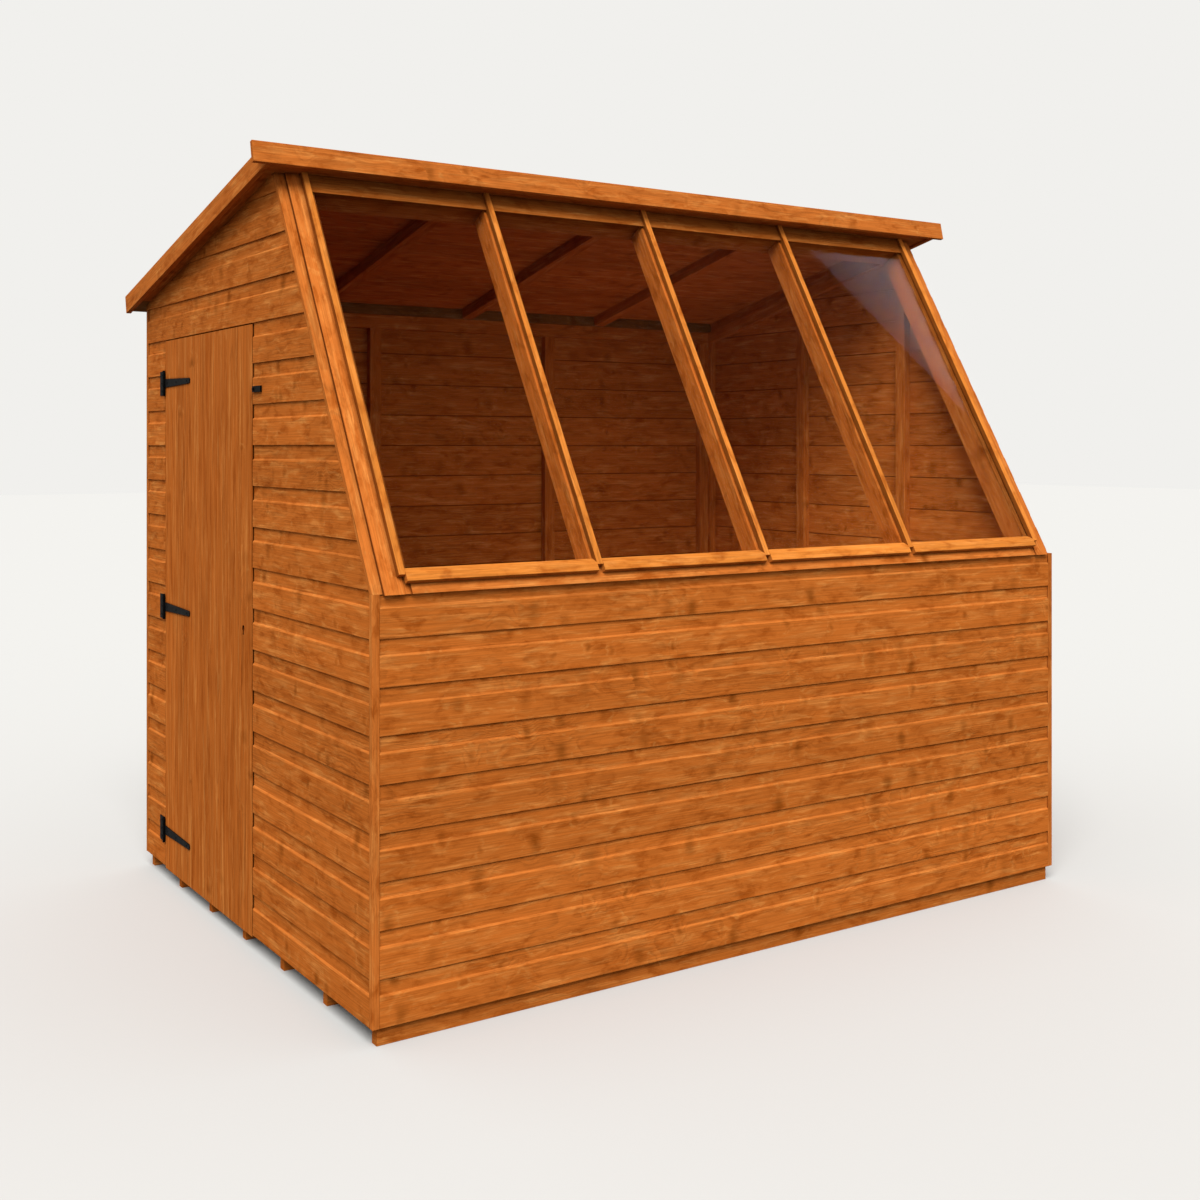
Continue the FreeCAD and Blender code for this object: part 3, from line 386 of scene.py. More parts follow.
    def grow_rings(self, tree: bpy.types.NodeTree, grain: Feed, pulled: Feed,
                   halo: Feed) -> bpy.types.Node:
        """Draw growth rings as circles round the tree's heart, which lies off each board's middle.

        They swell round the knots, and show in some stretches of a board only.

        Args:
            tree: node tree of the material.
            grain: place in the board.
            pulled: pulled place in the board.
            halo: nearness to a knot.

        Returns:
            Strength of the dark late wood.
        """
        across = add(tree, "VectorMath", {0: pulled, 1: (0.0, 1.0, 1.0)}, operation="MULTIPLY")
        heart = add(tree, "VectorMath", {0: across}, operation="LENGTH").outputs["Value"]
        drift = noise(tree, grain, DRIFT_STEP, 2.0)
        heart = plus(tree, plus(tree, heart, drift, RING_DRIFT), halo, RING_SWELL)
        count = add(tree, "Math", {0: heart, 1: self.ring_mm * MM}, operation="DIVIDE")
        ring = add(tree, "Math", {0: count}, operation="FRACT")
        ring = times(tree, ramp(tree, ring, 0.35, 0.9, shape="SMOOTHSTEP"),
                     ramp(tree, ring, 1.0, 0.92, shape="SMOOTHSTEP"))
        return times(tree, ring, ramp(tree, drift, 0.44, 0.62))

    def treat_faces(self, tree: bpy.types.NodeTree, body: Feed) -> bpy.types.Node:
        """Let cut ends drink more stain, paint strong shade on the marked faces, and a faint painted
        highlight on the sloping shoulders.

        Args:
            tree: node tree of the material.
            body: stained colour.

        Returns:
            The colour with the marked faces changed.
        """
        # Cut ends take real stain; the marked faces get painted shade, and the shoulders a painted
        # highlight.
        for mark, share, colour in (("end", 0.25, self.soaked), ("painted_shade", 0.7, self.painted_shade),
                                    ("shoulder", 0.1, self.haze)):
            body = blend(tree, times(tree, attribute(tree, mark), share), body, linear(colour))
        return body

    def shade(self, tree: bpy.types.NodeTree, streak: Feed, ring: Feed) -> Feed:
        """Vary the tone by fibre, by board and by ring, paint shade on shoulders, and paint shade into
        corners from ambient occlusion.

        Args:
            tree: node tree of the material.
            streak: fibre streaks.
            ring: strength of the late wood.

        Returns:
            Factor for the colour.
        """
        tone = 1.0 - (self.streak_depth + self.tone_spread) / 2
        # Fibre, board and ring tones are real; the shoulder term is painted shade.
        for pattern, share in ((ramp(tree, streak, 0.40, 0.60), self.streak_depth),
                               (attribute(tree, "board"), self.tone_spread),
                               (ring, -self.ring_depth),
                               (attribute(tree, "shoulder"), -self.shoulder_shade)):
            tone = plus(tree, tone, pattern, share)
        # Painted shade: ambient occlusion darkens inner corners and faces under overhangs.
        if self.corner_shade > 0.0:
            nook = add(tree, "AmbientOcclusion", {"Distance": self.corner_shade_mm * MM}, samples=6)
            tone = times(tree, tone, ramp(tree, nook.outputs["AO"], 0.5, 0.95, 1.0 - self.corner_shade))
        return tone


@dataclass(frozen=True)
class JapannedIron(Finish):
    """Pressed iron dipped in black japan lacquer: near black, satin, with a faint orange-peel skin."""

    name: str = "japanned_iron"
    coat: str = "#050505"
    rubbed: str = "#0B0A0A"

    def mix(self) -> bpy.types.Material:
        """Cloud the lacquer a little and give it a 3 mm orange-peel skin.

        Returns:
            The new material.
        """
        material, tree = fresh_material(self.name)
        place = add(tree, "TexCoord", {}).outputs["Object"]
        cloud = add(tree, "TexNoise", {"Vector": place, "Scale": 45.0, "Detail": 3.0})
        colour = blend(tree, cloud, linear(self.coat), linear(self.rubbed))
        peel = add(tree, "TexNoise", {"Vector": place, "Scale": 330.0, "Detail": 1.0})
        relief = add(tree, "Bump", {"Height": peel, "Strength": 0.25, "Distance": 0.3 * MM})
        gloss = ramp(tree, cloud, 0.0, 1.0, 0.50, 0.68)
        surface = add(tree, "BsdfPrincipled", {"Base Color": colour, "Roughness": gloss,
                                               "Normal": relief, "Specular IOR Level": 0.03})
        add(tree, "OutputMaterial", {"Surface": surface})
        return material


@dataclass(frozen=True)
class HorticulturalGlass(Finish):
    """Clear 4 mm drawn glass: almost unseen face on, with a faint sheen at a slant."""

    name: str = "horticultural_glass"
    cast: str = "#FBFBFA"
    ior: float = 1.05
    most_sheen: float = 0.10
    most_smear: float = 0.003

    def mix(self) -> bpy.types.Material:
        """Let light straight through, and reflect a little more towards grazing angles.

        Returns:
            The new material.
        """
        material, tree = fresh_material(self.name)
        place = add(tree, "TexCoord", {}).outputs["Object"]
        film = add(tree, "TexNoise", {"Vector": place, "Scale": 9.0, "Detail": 3.0})
        through = add(tree, "BsdfTransparent", {"Color": linear(self.cast)})
        sheen = add(tree, "BsdfGlossy", {"Roughness": ramp(tree, film, 0.0, 1.0, 0.0, self.most_smear)})
        share = add(tree, "Fresnel", {"IOR": self.ior})
        share = add(tree, "Math", {0: share, 1: self.most_sheen}, operation="MINIMUM")
        surface = add(tree, "MixShader", {0: share, 1: through, 2: sheen})
        add(tree, "OutputMaterial", {"Surface": surface})
        return material


@dataclass(frozen=True)
class MineralFelt(Finish):
    """Bitumen felt faced with crushed slate: charcoal, dead matt, with a fine grit that sparkles."""

    name: str = "mineral_felt"
    bitumen: str = "#242527"
    grit: str = "#55585A"

    def mix(self) -> bpy.types.Material:
        """Scatter 5 mm grit, drawn coarser than the real 1 mm so that it shows, over bitumen.

        Returns:
            The new material.
        """
        material, tree = fresh_material(self.name)
        place = add(tree, "TexCoord", {}).outputs["Object"]
        grit = add(tree, "TexVoronoi", {"Vector": place, "Scale": 200.0})
        shade = add(tree, "SeparateColor", {0: grit.outputs["Color"]})
        worn = add(tree, "TexNoise", {"Vector": place, "Scale": 4.0, "Detail": 4.0})
        amount = times(tree, shade.outputs["Red"], worn)
        colour = blend(tree, amount, linear(self.bitumen), linear(self.grit))
        relief = add(tree, "Bump", {"Height": grit.outputs["Distance"], "Strength": 0.5,
                                    "Distance": 1.0 * MM})
        surface = add(tree, "BsdfPrincipled", {"Base Color": colour, "Roughness": 0.92,
                                               "Normal": relief})
        add(tree, "OutputMaterial", {"Surface": surface})
        return material


CLADDING = DippedSoftwood("dipped_softwood_cladding")
FRAMING = DippedSoftwood("dipped_softwood_framing", knot_share=0.4)
# Painted shade from ambient occlusion in the trim's inner corners.
TRIM = DippedSoftwood("dipped_softwood_trim", middle="#B46327", knot_share=0.35, knot_depth=0.5,
                      corner_shade=0.40)
# Painted highlight: a lighter middle for the lit sill beads and cover strips.
LIT_BEADING = DippedSoftwood("dipped_softwood_beading_lit", middle="#BE702B", knot_share=0.2, knot_depth=0.4)
BARS = DippedSoftwood("dipped_softwood_bars", middle="#BC6526", knot_share=0.2, knot_depth=0.4)
# Painted shade from ambient occlusion in the joinery's inner corners, and a lighter colour for its
# painted shade on marked faces.
JOINERY = DippedSoftwood("dipped_softwood_joinery", middle="#B46327", knot_share=0.35,
                         knot_depth=0.5, corner_shade=0.45, painted_shade="#6E3510")
# Painted shade under the fascia: a darker middle and wide ambient occlusion for the head rail and
# beads.
SHADED_HEADING = DippedSoftwood("dipped_softwood_heading_shaded", middle="#A85C22", knot_share=0.35,
                         knot_depth=0.5, corner_shade=0.40, corner_shade_mm=70.0)
# Painted shade: the roof's back rail darker and greyer, where it lies in shade under the roof.
SHADED_RAIL = DippedSoftwood("dipped_softwood_shaded_rail", middle="#805326", soaked="#64360C",
                            haze="#957547", knot_share=0.3)
# Painted shade from ambient occlusion in the door's inner corners, round the straps and at its edges.
DOOR_WOOD = DippedSoftwood("dipped_softwood_door", middle="#AC5C21", soak_mm=(240.0, 22.0),
                           haze_mm=(260.0, 15.0), streak_mm=(240.0, 6.0), streak_depth=0.24,
                           knot_share=0.2, knot_depth=0.5, corner_shade=0.70, corner_shade_mm=10.0)
IRON = JapannedIron()
GLASS = HorticulturalGlass()
FELT = MineralFelt()


def islands(edges: np.ndarray, count: int) -> np.ndarray:
    """Number the separate solids of a mesh by spreading the lowest vertex number along its edges.

    Args:
        edges: pairs of vertex numbers.
        count: number of vertices.

    Returns:
        For each vertex the number of its solid, from 0.
    """
    label = np.arange(count)
    settled = False
    while not settled:
        low = np.minimum(label[edges[:, 0]], label[edges[:, 1]])
        spread = label.copy()
        np.minimum.at(spread, edges[:, 0], low)
        np.minimum.at(spread, edges[:, 1], low)
        spread = spread[spread]
        settled = np.array_equal(spread, label)
        label = spread
    return np.unique(label, return_inverse=True)[1]


def read(items: bpy.types.bpy_prop_collection, name: str) -> np.ndarray:
    """Read a place or direction of each point or face of a mesh, one row each."""
    rows = np.empty((len(items), 3))
    items.foreach_get(name, rows.ravel())
    return rows


def mark(mesh: bpy.types.Mesh, name: str, values: np.ndarray) -> None:
    """Write one number per face as an attribute of the mesh."""
    marks = mesh.attributes.new(name, "FLOAT", "FACE")
    marks.data.foreach_set("value", values.astype(np.float32))


def put(piece: bpy.types.Object, body: str, slot: str) -> bpy.types.Object:
    """Link a piece to the scene, and give it its body.

    Args:
        piece: the new object.
        body: body that it rides on.
        slot: material slot of the piece; not used.

    Returns:
        The same object.
    """
    bpy.context.scene.collection.objects.link(piece)
    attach(piece, body)
    log.info("%s rides on %s", piece.name, body)
    return piece


def softened(node: str, arris: float, along: np.ndarray | None = None,
             inward: tuple[float, float, float] | None = None) -> bpy.types.Mesh:
    """Copy a CAD node's mesh, merge its triangles into flats and round its long outer edges.

    Args:
        node: name of the CAD node.
        arris: width of the rounded edge in metres.
        along: direction of the edges to round, or None for all.
        inward: side of a wall that faces the room, where the edges are chamfered wider.

    Returns:
        The new mesh.
    """
    work = bmesh.new()
    work.from_mesh(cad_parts[node].data)
    bmesh.ops.remove_doubles(work, verts=work.verts, dist=SAME_POINT)
    bmesh.ops.dissolve_limit(work, angle_limit=FLAT_ANGLE, verts=work.verts, edges=work.edges)
    sharp = [edge for edge in work.edges if edge.is_manifold
             and edge.calc_face_angle_signed() > SHARP_ANGLE
             and min(face.calc_area() for face in edge.link_faces)
             > ARRIS_ROOM * arris * edge.calc_length()]
    if along is not None:
        sharp = [edge for edge in sharp
                 if abs((edge.verts[1].co - edge.verts[0].co).normalized().dot(along)) > ALIGNED]
    if inward is not None:
        room = [edge for edge in sharp
                if max(face.normal.dot(inward) for face in edge.link_faces) > ALIGNED]
        bmesh.ops.bevel(work, geom=room, offset=ROOM_CHAMFER, offset_type="OFFSET", segments=1,
                        profile=0.5, affect="EDGES", clamp_overlap=True)
        sharp = [edge for edge in sharp if edge.is_valid and edge not in room]
    bmesh.ops.bevel(work, geom=sharp, offset=arris, offset_type="OFFSET", segments=2, profile=0.5,
                    affect="EDGES", clamp_overlap=True)
    bmesh.ops.dissolve_degenerate(work, edges=work.edges, dist=0.001 * MM)
    mesh = bpy.data.meshes.new(node + "_dressed")
    work.to_mesh(mesh)
    work.free()
    return mesh


@dataclass(frozen=True)
class Timber:
    """A wooden CAD node, planed with softened edges and given the grain of its own boards."""

    node: str
    run: Run
    finish: DippedSoftwood
    slot: str
    body: str = "shed"
    arris: float = FRAME_ARRIS
    # Sides, by the sign of their x direction, that get painted shade.
    painted_shade: tuple[float, ...] = ()
    inward: tuple[float, float, float] | None = None
    level_foot: bool = False
    keyhole: bool = False

    def build(self) -> bpy.types.Object:
        """Make the dressed copy of the node.

        Returns:
            The piece, which stands for the node.
        """
        axes = self.run.axes()
        mesh = softened(self.node, self.arris, axes[0], self.inward)
        if self.level_foot:
            self.cut_level(mesh, axes[0])
        self.lay_grain(mesh, axes)
        mesh.materials.append(self.finish.material())
        piece = bpy.data.objects.new(self.node + ".timber", mesh)
        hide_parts(self.node)
        return put(piece, self.body, self.slot)

    def cut_level(self, mesh: bpy.types.Mesh, along: np.ndarray) -> None:
        """Slide the points of a square-cut foot along the timber, down to the foot's lowest level.

        Args:
            mesh: mesh of the whole node.
            along: direction of the fibres, pointing up.
        """
        points = read(mesh.vertices, "co")
        rise = points[:, 2] - points[:, 2].min()
        slide = np.where(rise < FOOT_REACH, rise, 0.0) / along[2]
        mesh.vertices.foreach_set("co", (points - np.outer(slide, along)).ravel())
        mesh.update()

    def lay_grain(self, mesh: bpy.types.Mesh, axes: np.ndarray) -> None:
        """Write each board's grain coordinates, its tone and its marked faces as attributes.

        The grain of a point is its place along, across and through its own board, measured from
        the tree's heart, which lies to one side of the board. The place along is shifted by a
        random length, so that no two boards show the same figure.

        Args:
            mesh: mesh of the whole node.
            axes: directions along the fibres and square to them.
        """
        points = read(mesh.vertices, "co")
        edges = np.empty(len(mesh.edges) * 2, dtype=np.int32)
        mesh.edges.foreach_get("vertices", edges)
        solid = islands(edges.reshape(-1, 2), len(points))
        solids = solid.max() + 1
        local = points @ axes.T
        low = np.full((solids, 3), np.inf)
        high = np.full((solids, 3), -np.inf)
        np.minimum.at(low, solid, local)
        np.maximum.at(high, solid, local)
        local = local - ((low + high) / 2)[solid]
        thin_first = (high - low)[:, 1] < (high - low)[:, 2]
        local[:, 1:] = np.where(thin_first[solid][:, None], local[:, [2, 1]], local[:, [1, 2]])

        chance = np.random.default_rng(zlib.crc32(self.node.encode())).random((solids, 6))
        shift = np.stack((chance[:, 3] * TRUNK_LENGTH, (chance[:, 4] - 0.5) * HEART_SIDE,
                          chance[:, 5] * HEART_DEPTH + HEART_LEAST), axis=1)
        grain = mesh.attributes.new("grain", "FLOAT_VECTOR", "POINT")
        grain.data.foreach_set("vector", (local + shift[solid]).astype(np.float32).ravel())
        board = mesh.attributes.new("board", "FLOAT", "POINT")
        board.data.foreach_set("value", chance[solid, 0].astype(np.float32))
        normals = read(mesh.polygons, "normal")
        mark(mesh, "end", np.abs(normals @ axes[0]) > CUT_END)
        self.mark_faces(mesh, normals)

    def mark_faces(self, mesh: bpy.types.Mesh, normals: np.ndarray) -> None:
        """Mark the faces that get painted shade (the listed sides, room-side chamfers and the keyhole's
        walls) and the sloping shoulders of cladding.

        Args:
            mesh: mesh of the whole node.
            normals: one outward direction per face.
        """
        # Painted shade on the listed sides and on the room-side chamfers; the keyhole's walls get it
        # stronger.
        shaded_faces = np.zeros(len(normals), dtype=bool)
        for sign in self.painted_shade:
            shaded_faces |= normals[:, 0] * sign > 0.9
        if self.inward is not None:
            outward = -(normals @ np.array(self.inward))
            shaded_faces |= (-outward > SLOPE[0]) & (-outward < SLOPE[1])
            slope = (outward > SLOPE[0]) & (outward < SLOPE[1]) & (normals[:, 2] > SLOPE[0])
            mark(mesh, "shoulder", slope)
        soak = shaded_faces.astype(np.float32)
        if self.keyhole:
            middles = read(mesh.polygons, "center")
            reach = np.linalg.norm(middles[:, 1:] - KEYHOLE, axis=1)
            soak[(reach < KEYHOLE_REACH) & (np.abs(normals[:, 0]) < 0.5)] = KEYHOLE_SHADE
        mark(mesh, "painted_shade", soak)


def framing(node: str, run: Run, arris: float = FRAME_ARRIS) -> Timber:
    """A timber of the shed's frame, floor or roof deck."""
    return Timber(node, run, FRAMING, "frame_wood", arris=arris)


def cladding(node: str, run: Run, inward: tuple[float, float, float]) -> Timber:
    """Shiplap boards of one wall, with the side that faces the room."""
    return Timber(node, run, CLADDING, "cladding_wood", arris=BOARD_ARRIS, inward=inward)


INTO_BACK = (0.0, 1.0, 0.0)
INTO_FRONT = (0.0, -1.0, 0.0)
INTO_PLAIN_END = (1.0, 0.0, 0.0)
INTO_DOOR_END = (-1.0, 0.0, 0.0)


@dataclass
class TimberGroup:
    """Timbers that make one sub-assembly of the shed."""

    timbers: tuple[Timber, ...] = ()

    def build(self) -> list[bpy.types.Object]:
        """Dress every timber of the group."""
        return [timber.build() for timber in self.timbers]


@dataclass
class Floor(TimberGroup):
    """Boarded floor on bearers."""

    timbers: tuple[Timber, ...] = (
        framing("floor_bearers", Run.LENGTH),
        framing("floor_boards", Run.DEPTH, BOARD_ARRIS),
    )


@dataclass
class FrontWall(TimberGroup):
    """Low shiplap wall under the glazing."""

    timbers: tuple[Timber, ...] = (
        cladding("front_cladding", Run.LENGTH, INTO_BACK),
        framing("front_bottom_rail", Run.LENGTH),
        framing("front_top_rail", Run.LENGTH),
        framing("front_studs", Run.HEIGHT),
    )


@dataclass
class BackWall(TimberGroup):
    """Plain shiplap wall at the low side of the roof."""

    timbers: tuple[Timber, ...] = (
        cladding("back_cladding", Run.LENGTH, INTO_FRONT),
        framing("back_bottom_rail", Run.LENGTH),
        framing("back_top_rail", Run.LENGTH),
        framing("back_studs", Run.HEIGHT),
    )


@dataclass
class DoorEnd(TimberGroup):
    """Shiplap end wall with the doorway."""

    timbers: tuple[Timber, ...] = (
        cladding("door_end_cladding_front", Run.DEPTH, INTO_PLAIN_END),
        cladding("door_end_cladding_back", Run.DEPTH, INTO_PLAIN_END),
        cladding("door_end_cladding_over", Run.DEPTH, INTO_PLAIN_END),
        framing("door_end_bottom_rails", Run.DEPTH),
        framing("door_end_studs", Run.HEIGHT),
        framing("door_end_raking_rail", Run.RAKE),
        framing("door_end_top_rail", Run.PITCH),
        framing("door_header", Run.DEPTH),
        framing("door_latch_post", Run.HEIGHT),
        framing("door_hinge_post", Run.HEIGHT),
    )


@dataclass
class PlainEnd(TimberGroup):
    """Shiplap end wall without an opening."""

    timbers: tuple[Timber, ...] = (
        cladding("plain_end_cladding", Run.DEPTH, INTO_DOOR_END),
        framing("plain_end_bottom_rail", Run.DEPTH),
        framing("plain_end_studs", Run.HEIGHT),
        framing("plain_end_raking_rail", Run.RAKE),
        framing("plain_end_top_rail", Run.PITCH),
    )


@dataclass
class Strips(TimberGroup):
    """Cover strips at the corners and up the rake of the door end."""

    timbers: tuple[Timber, ...] = (
        Timber("corner_strips", Run.HEIGHT, TRIM, "trim_wood"),
        Timber("raking_strip", Run.RAKE, TRIM, "trim_wood", level_foot=True),
    )


@dataclass
class GlazedPanel(TimberGroup):
    """Leaning panel of four panes between rebated bars."""

    timbers: tuple[Timber, ...] = (
        Timber("window_sill_rail", Run.LENGTH, JOINERY, "window_wood"),
        Timber("window_head_rail", Run.LENGTH, SHADED_HEADING, "window_wood"),
        # The stiles' outer sides and the cover strips' sides get painted shade.
        Timber("window_stile_left", Run.RAKE, JOINERY, "window_wood", painted_shade=(-1.0,)),
        Timber("window_stile_right", Run.RAKE, JOINERY, "window_wood", painted_shade=(1.0,)),
        Timber("glazing_bar_1", Run.RAKE, BARS, "window_wood"),
        Timber("glazing_bar_2", Run.RAKE, BARS, "window_wood"),
        Timber("glazing_bar_3", Run.RAKE, BARS, "window_wood"),
        Timber("bar_cover_strips", Run.RAKE, LIT_BEADING, "trim_wood", painted_shade=(-1.0, 1.0)),
        Timber("sill_beads", Run.LENGTH, LIT_BEADING, "trim_wood"),
        Timber("head_beads", Run.LENGTH, SHADED_HEADING, "trim_wood"),
    )
    panes: tuple[str, ...] = ("window_pane_1", "window_pane_2", "window_pane_3", "window_pane_4")

    def build(self) -> list[bpy.types.Object]:
        """Dress the timbers and glaze the panes."""
        for pane in self.panes:
            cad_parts[pane].material_slots[0].material = GLASS.material()
        return super().build()


@dataclass
class Roof(TimberGroup):
    """Boarded roof on rafters, with felt, fascia and barge boards."""

    timbers: tuple[Timber, ...] = (
        framing("roof_front_rail", Run.LENGTH),
        Timber("roof_back_rail", Run.LENGTH, SHADED_RAIL, "frame_wood"),
        framing("roof_end_rails", Run.PITCH),
        framing("roof_rafters", Run.PITCH),
        framing("roof_boards", Run.LENGTH, BOARD_ARRIS),
        Timber("front_fascia", Run.LENGTH, TRIM, "trim_wood"),
        Timber("barge_boards", Run.PITCH, TRIM, "trim_wood"),
    )

    def build(self) -> list[bpy.types.Object]:
        """Dress the timbers and face the felt."""
        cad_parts["roof_felt"].material_slots[0].material = FELT.material()
        return super().build()


@dataclass
class Door(TimberGroup):
    """Ledged and braced door of tongued boards."""

    timbers: tuple[Timber, ...] = (
        Timber("door_boards", Run.HEIGHT, DOOR_WOOD, "door_wood", "door", BOARD_ARRIS, keyhole=True),
        Timber("door_ledges", Run.DEPTH, DOOR_WOOD, "door_wood", "door", keyhole=True),
        Timber("door_braces", Run.BRACE, DOOR_WOOD, "door_wood", "door"),
    )


@dataclass
class Ironwork:
    """Tee hinges, rim lock and turn button."""

    bodies: dict[str, str] = field(default_factory=lambda: {
        "hinge_straps": "door", "hinge_plates": "shed", "hinge_pins": "shed",
        "lock_case": "door", "lock_bolt": "lock_bolt", "lock_keep": "shed",
        "turn_button": "turn_button", "turn_button_screw": "shed"})
    arris: float = 0.5 * MM

    def build(self) -> list[bpy.types.Object]:
        """Round the edges of each iron node and blacken it.

        Returns:
            The pieces, which stand for the nodes.
        """
        pieces = []
        for node, body in self.bodies.items():
            mesh = softened(node, self.arris)
            mesh.materials.append(IRON.material())
            piece = bpy.data.objects.new(node + ".iron", mesh)
            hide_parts(node)
            pieces.append(put(piece, body, "ironwork"))
        return pieces


def quads(rows: int, columns: int) -> np.ndarray:
    """Corner numbers of the four-sided faces between the points of a grid."""
    corner = (np.arange(rows - 1)[:, None] * columns + np.arange(columns - 1)).ravel()
    return np.stack((corner, corner + columns, corner + columns + 1, corner + 1), axis=1)


def merged(mesh: bpy.types.Mesh) -> bpy.types.Mesh:
    """Join points that share a place, and drop the faces that this leaves without an area."""
    work = bmesh.new()
    work.from_mesh(mesh)
    bmesh.ops.remove_doubles(work, verts=work.verts, dist=SAME_POINT)
    work.to_mesh(mesh)
    work.free()
    return mesh


@dataclass(frozen=True)
class DomedHead:
    """Head of a screw or nail that stands a little proud of what it holds."""

    radius: float
    rise: float
    along: tuple[float, ...]
    across: tuple[float, ...]
    slot_half: float = 0.0
    slot_depth: float = 0.0
    bedded: float = 0.3 * MM

    def at(self, name: str, places: np.ndarray, axes: np.ndarray) -> bpy.types.Mesh:
        """Carry the head to many places.

        A square grid is pressed into a disc: each coordinate shrinks by the root of one less half
        the square of the other. The height falls with the square of the distance from the middle,
        and the slot is a step down along the middle line. The same disc at the height of the rim,
        turned over, closes the head below.

        Args:
            name: name of the mesh.
            places: middles of the heads' seats, one row each.
            axes: rows to the right, up and out of the seat.

        Returns:
            One mesh with all the heads.
        """
        a, b = np.meshgrid(self.along, self.across, indexing="ij")
        right = a * np.sqrt(1.0 - b ** 2 / 2.0)
        up = b * np.sqrt(1.0 - a ** 2 / 2.0)
        seat = np.where(np.abs(b) < self.slot_half, -self.slot_depth, 0.0) - self.bedded
        dome = seat + self.rise * (1.0 - right ** 2 - up ** 2)
        discs = [np.stack((right * self.radius, up * self.radius, height), axis=-1).reshape(-1, 3)
                 for height in (dome, seat)]
        points = (places[:, None, :] + (np.concatenate(discs) @ axes)[None]).reshape(-1, 3)
        cells = quads(*a.shape)
        cells = np.concatenate((cells, cells[:, ::-1] + a.size))
        faces = cells[None] + (np.arange(len(places)) * 2 * a.size)[:, None, None]
        mesh = bpy.data.meshes.new(name)
        mesh.from_pydata(points.tolist(), [], faces.reshape(-1, 4).tolist())
        merged(mesh)
        mesh.polygons.foreach_set("use_smooth", np.ones(len(mesh.polygons), dtype=bool))
        return mesh


@dataclass
class HingeScrews:
    """Slotted round-head screws that hold the tee hinges."""

    head: DomedHead = DomedHead(4.2 * MM, 2.1 * MM, tuple(np.linspace(-1.0, 1.0, 9)),
                                (-1.0, -0.75, -0.45, -0.19, -0.14, 0.14, 0.19, 0.45, 0.75, 1.0),
                                0.15, 0.8 * MM)
    face_x: float = -3.0 * MM
    plate_half: float = 39.0 * MM
    plate_y: float = 1617.0 * MM
    plate_rise: float = 26.0 * MM
    strap_y: tuple[float, ...] = (1562.0 * MM, 1470.0 * MM, 1362.0 * MM)
    hinges: int = 3

    def build(self) -> list[bpy.types.Object]:
        """Set three screws in each plate and three in each strap.

        Returns:
            The screws of the plates, and those of the straps, which swing with the door.
        """
        low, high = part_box("hinge_plates")
        levels = np.linspace(low[2] + self.plate_half, high[2] - self.plate_half, self.hinges)
        out = np.array(((0.0, -1.0, 0.0), (0.0, 0.0, 1.0), (-1.0, 0.0, 0.0)))
        pieces = []
        for name, body, spots in (
                ("hinge_plate_screws", "shed",
                 [(self.plate_y, rise) for rise in (-self.plate_rise, 0.0, self.plate_rise)]),
                ("hinge_strap_screws", "door", [(y, 0.0) for y in self.strap_y])):
            places = np.array([CORNER + (self.face_x, y, level + rise)
                               for level in levels for y, rise in spots])
            mesh = self.head.at(name, places, out)
            mesh.materials.append(IRON.material())
            pieces.append(put(bpy.data.objects.new(name, mesh), body, "ironwork"))
        return pieces


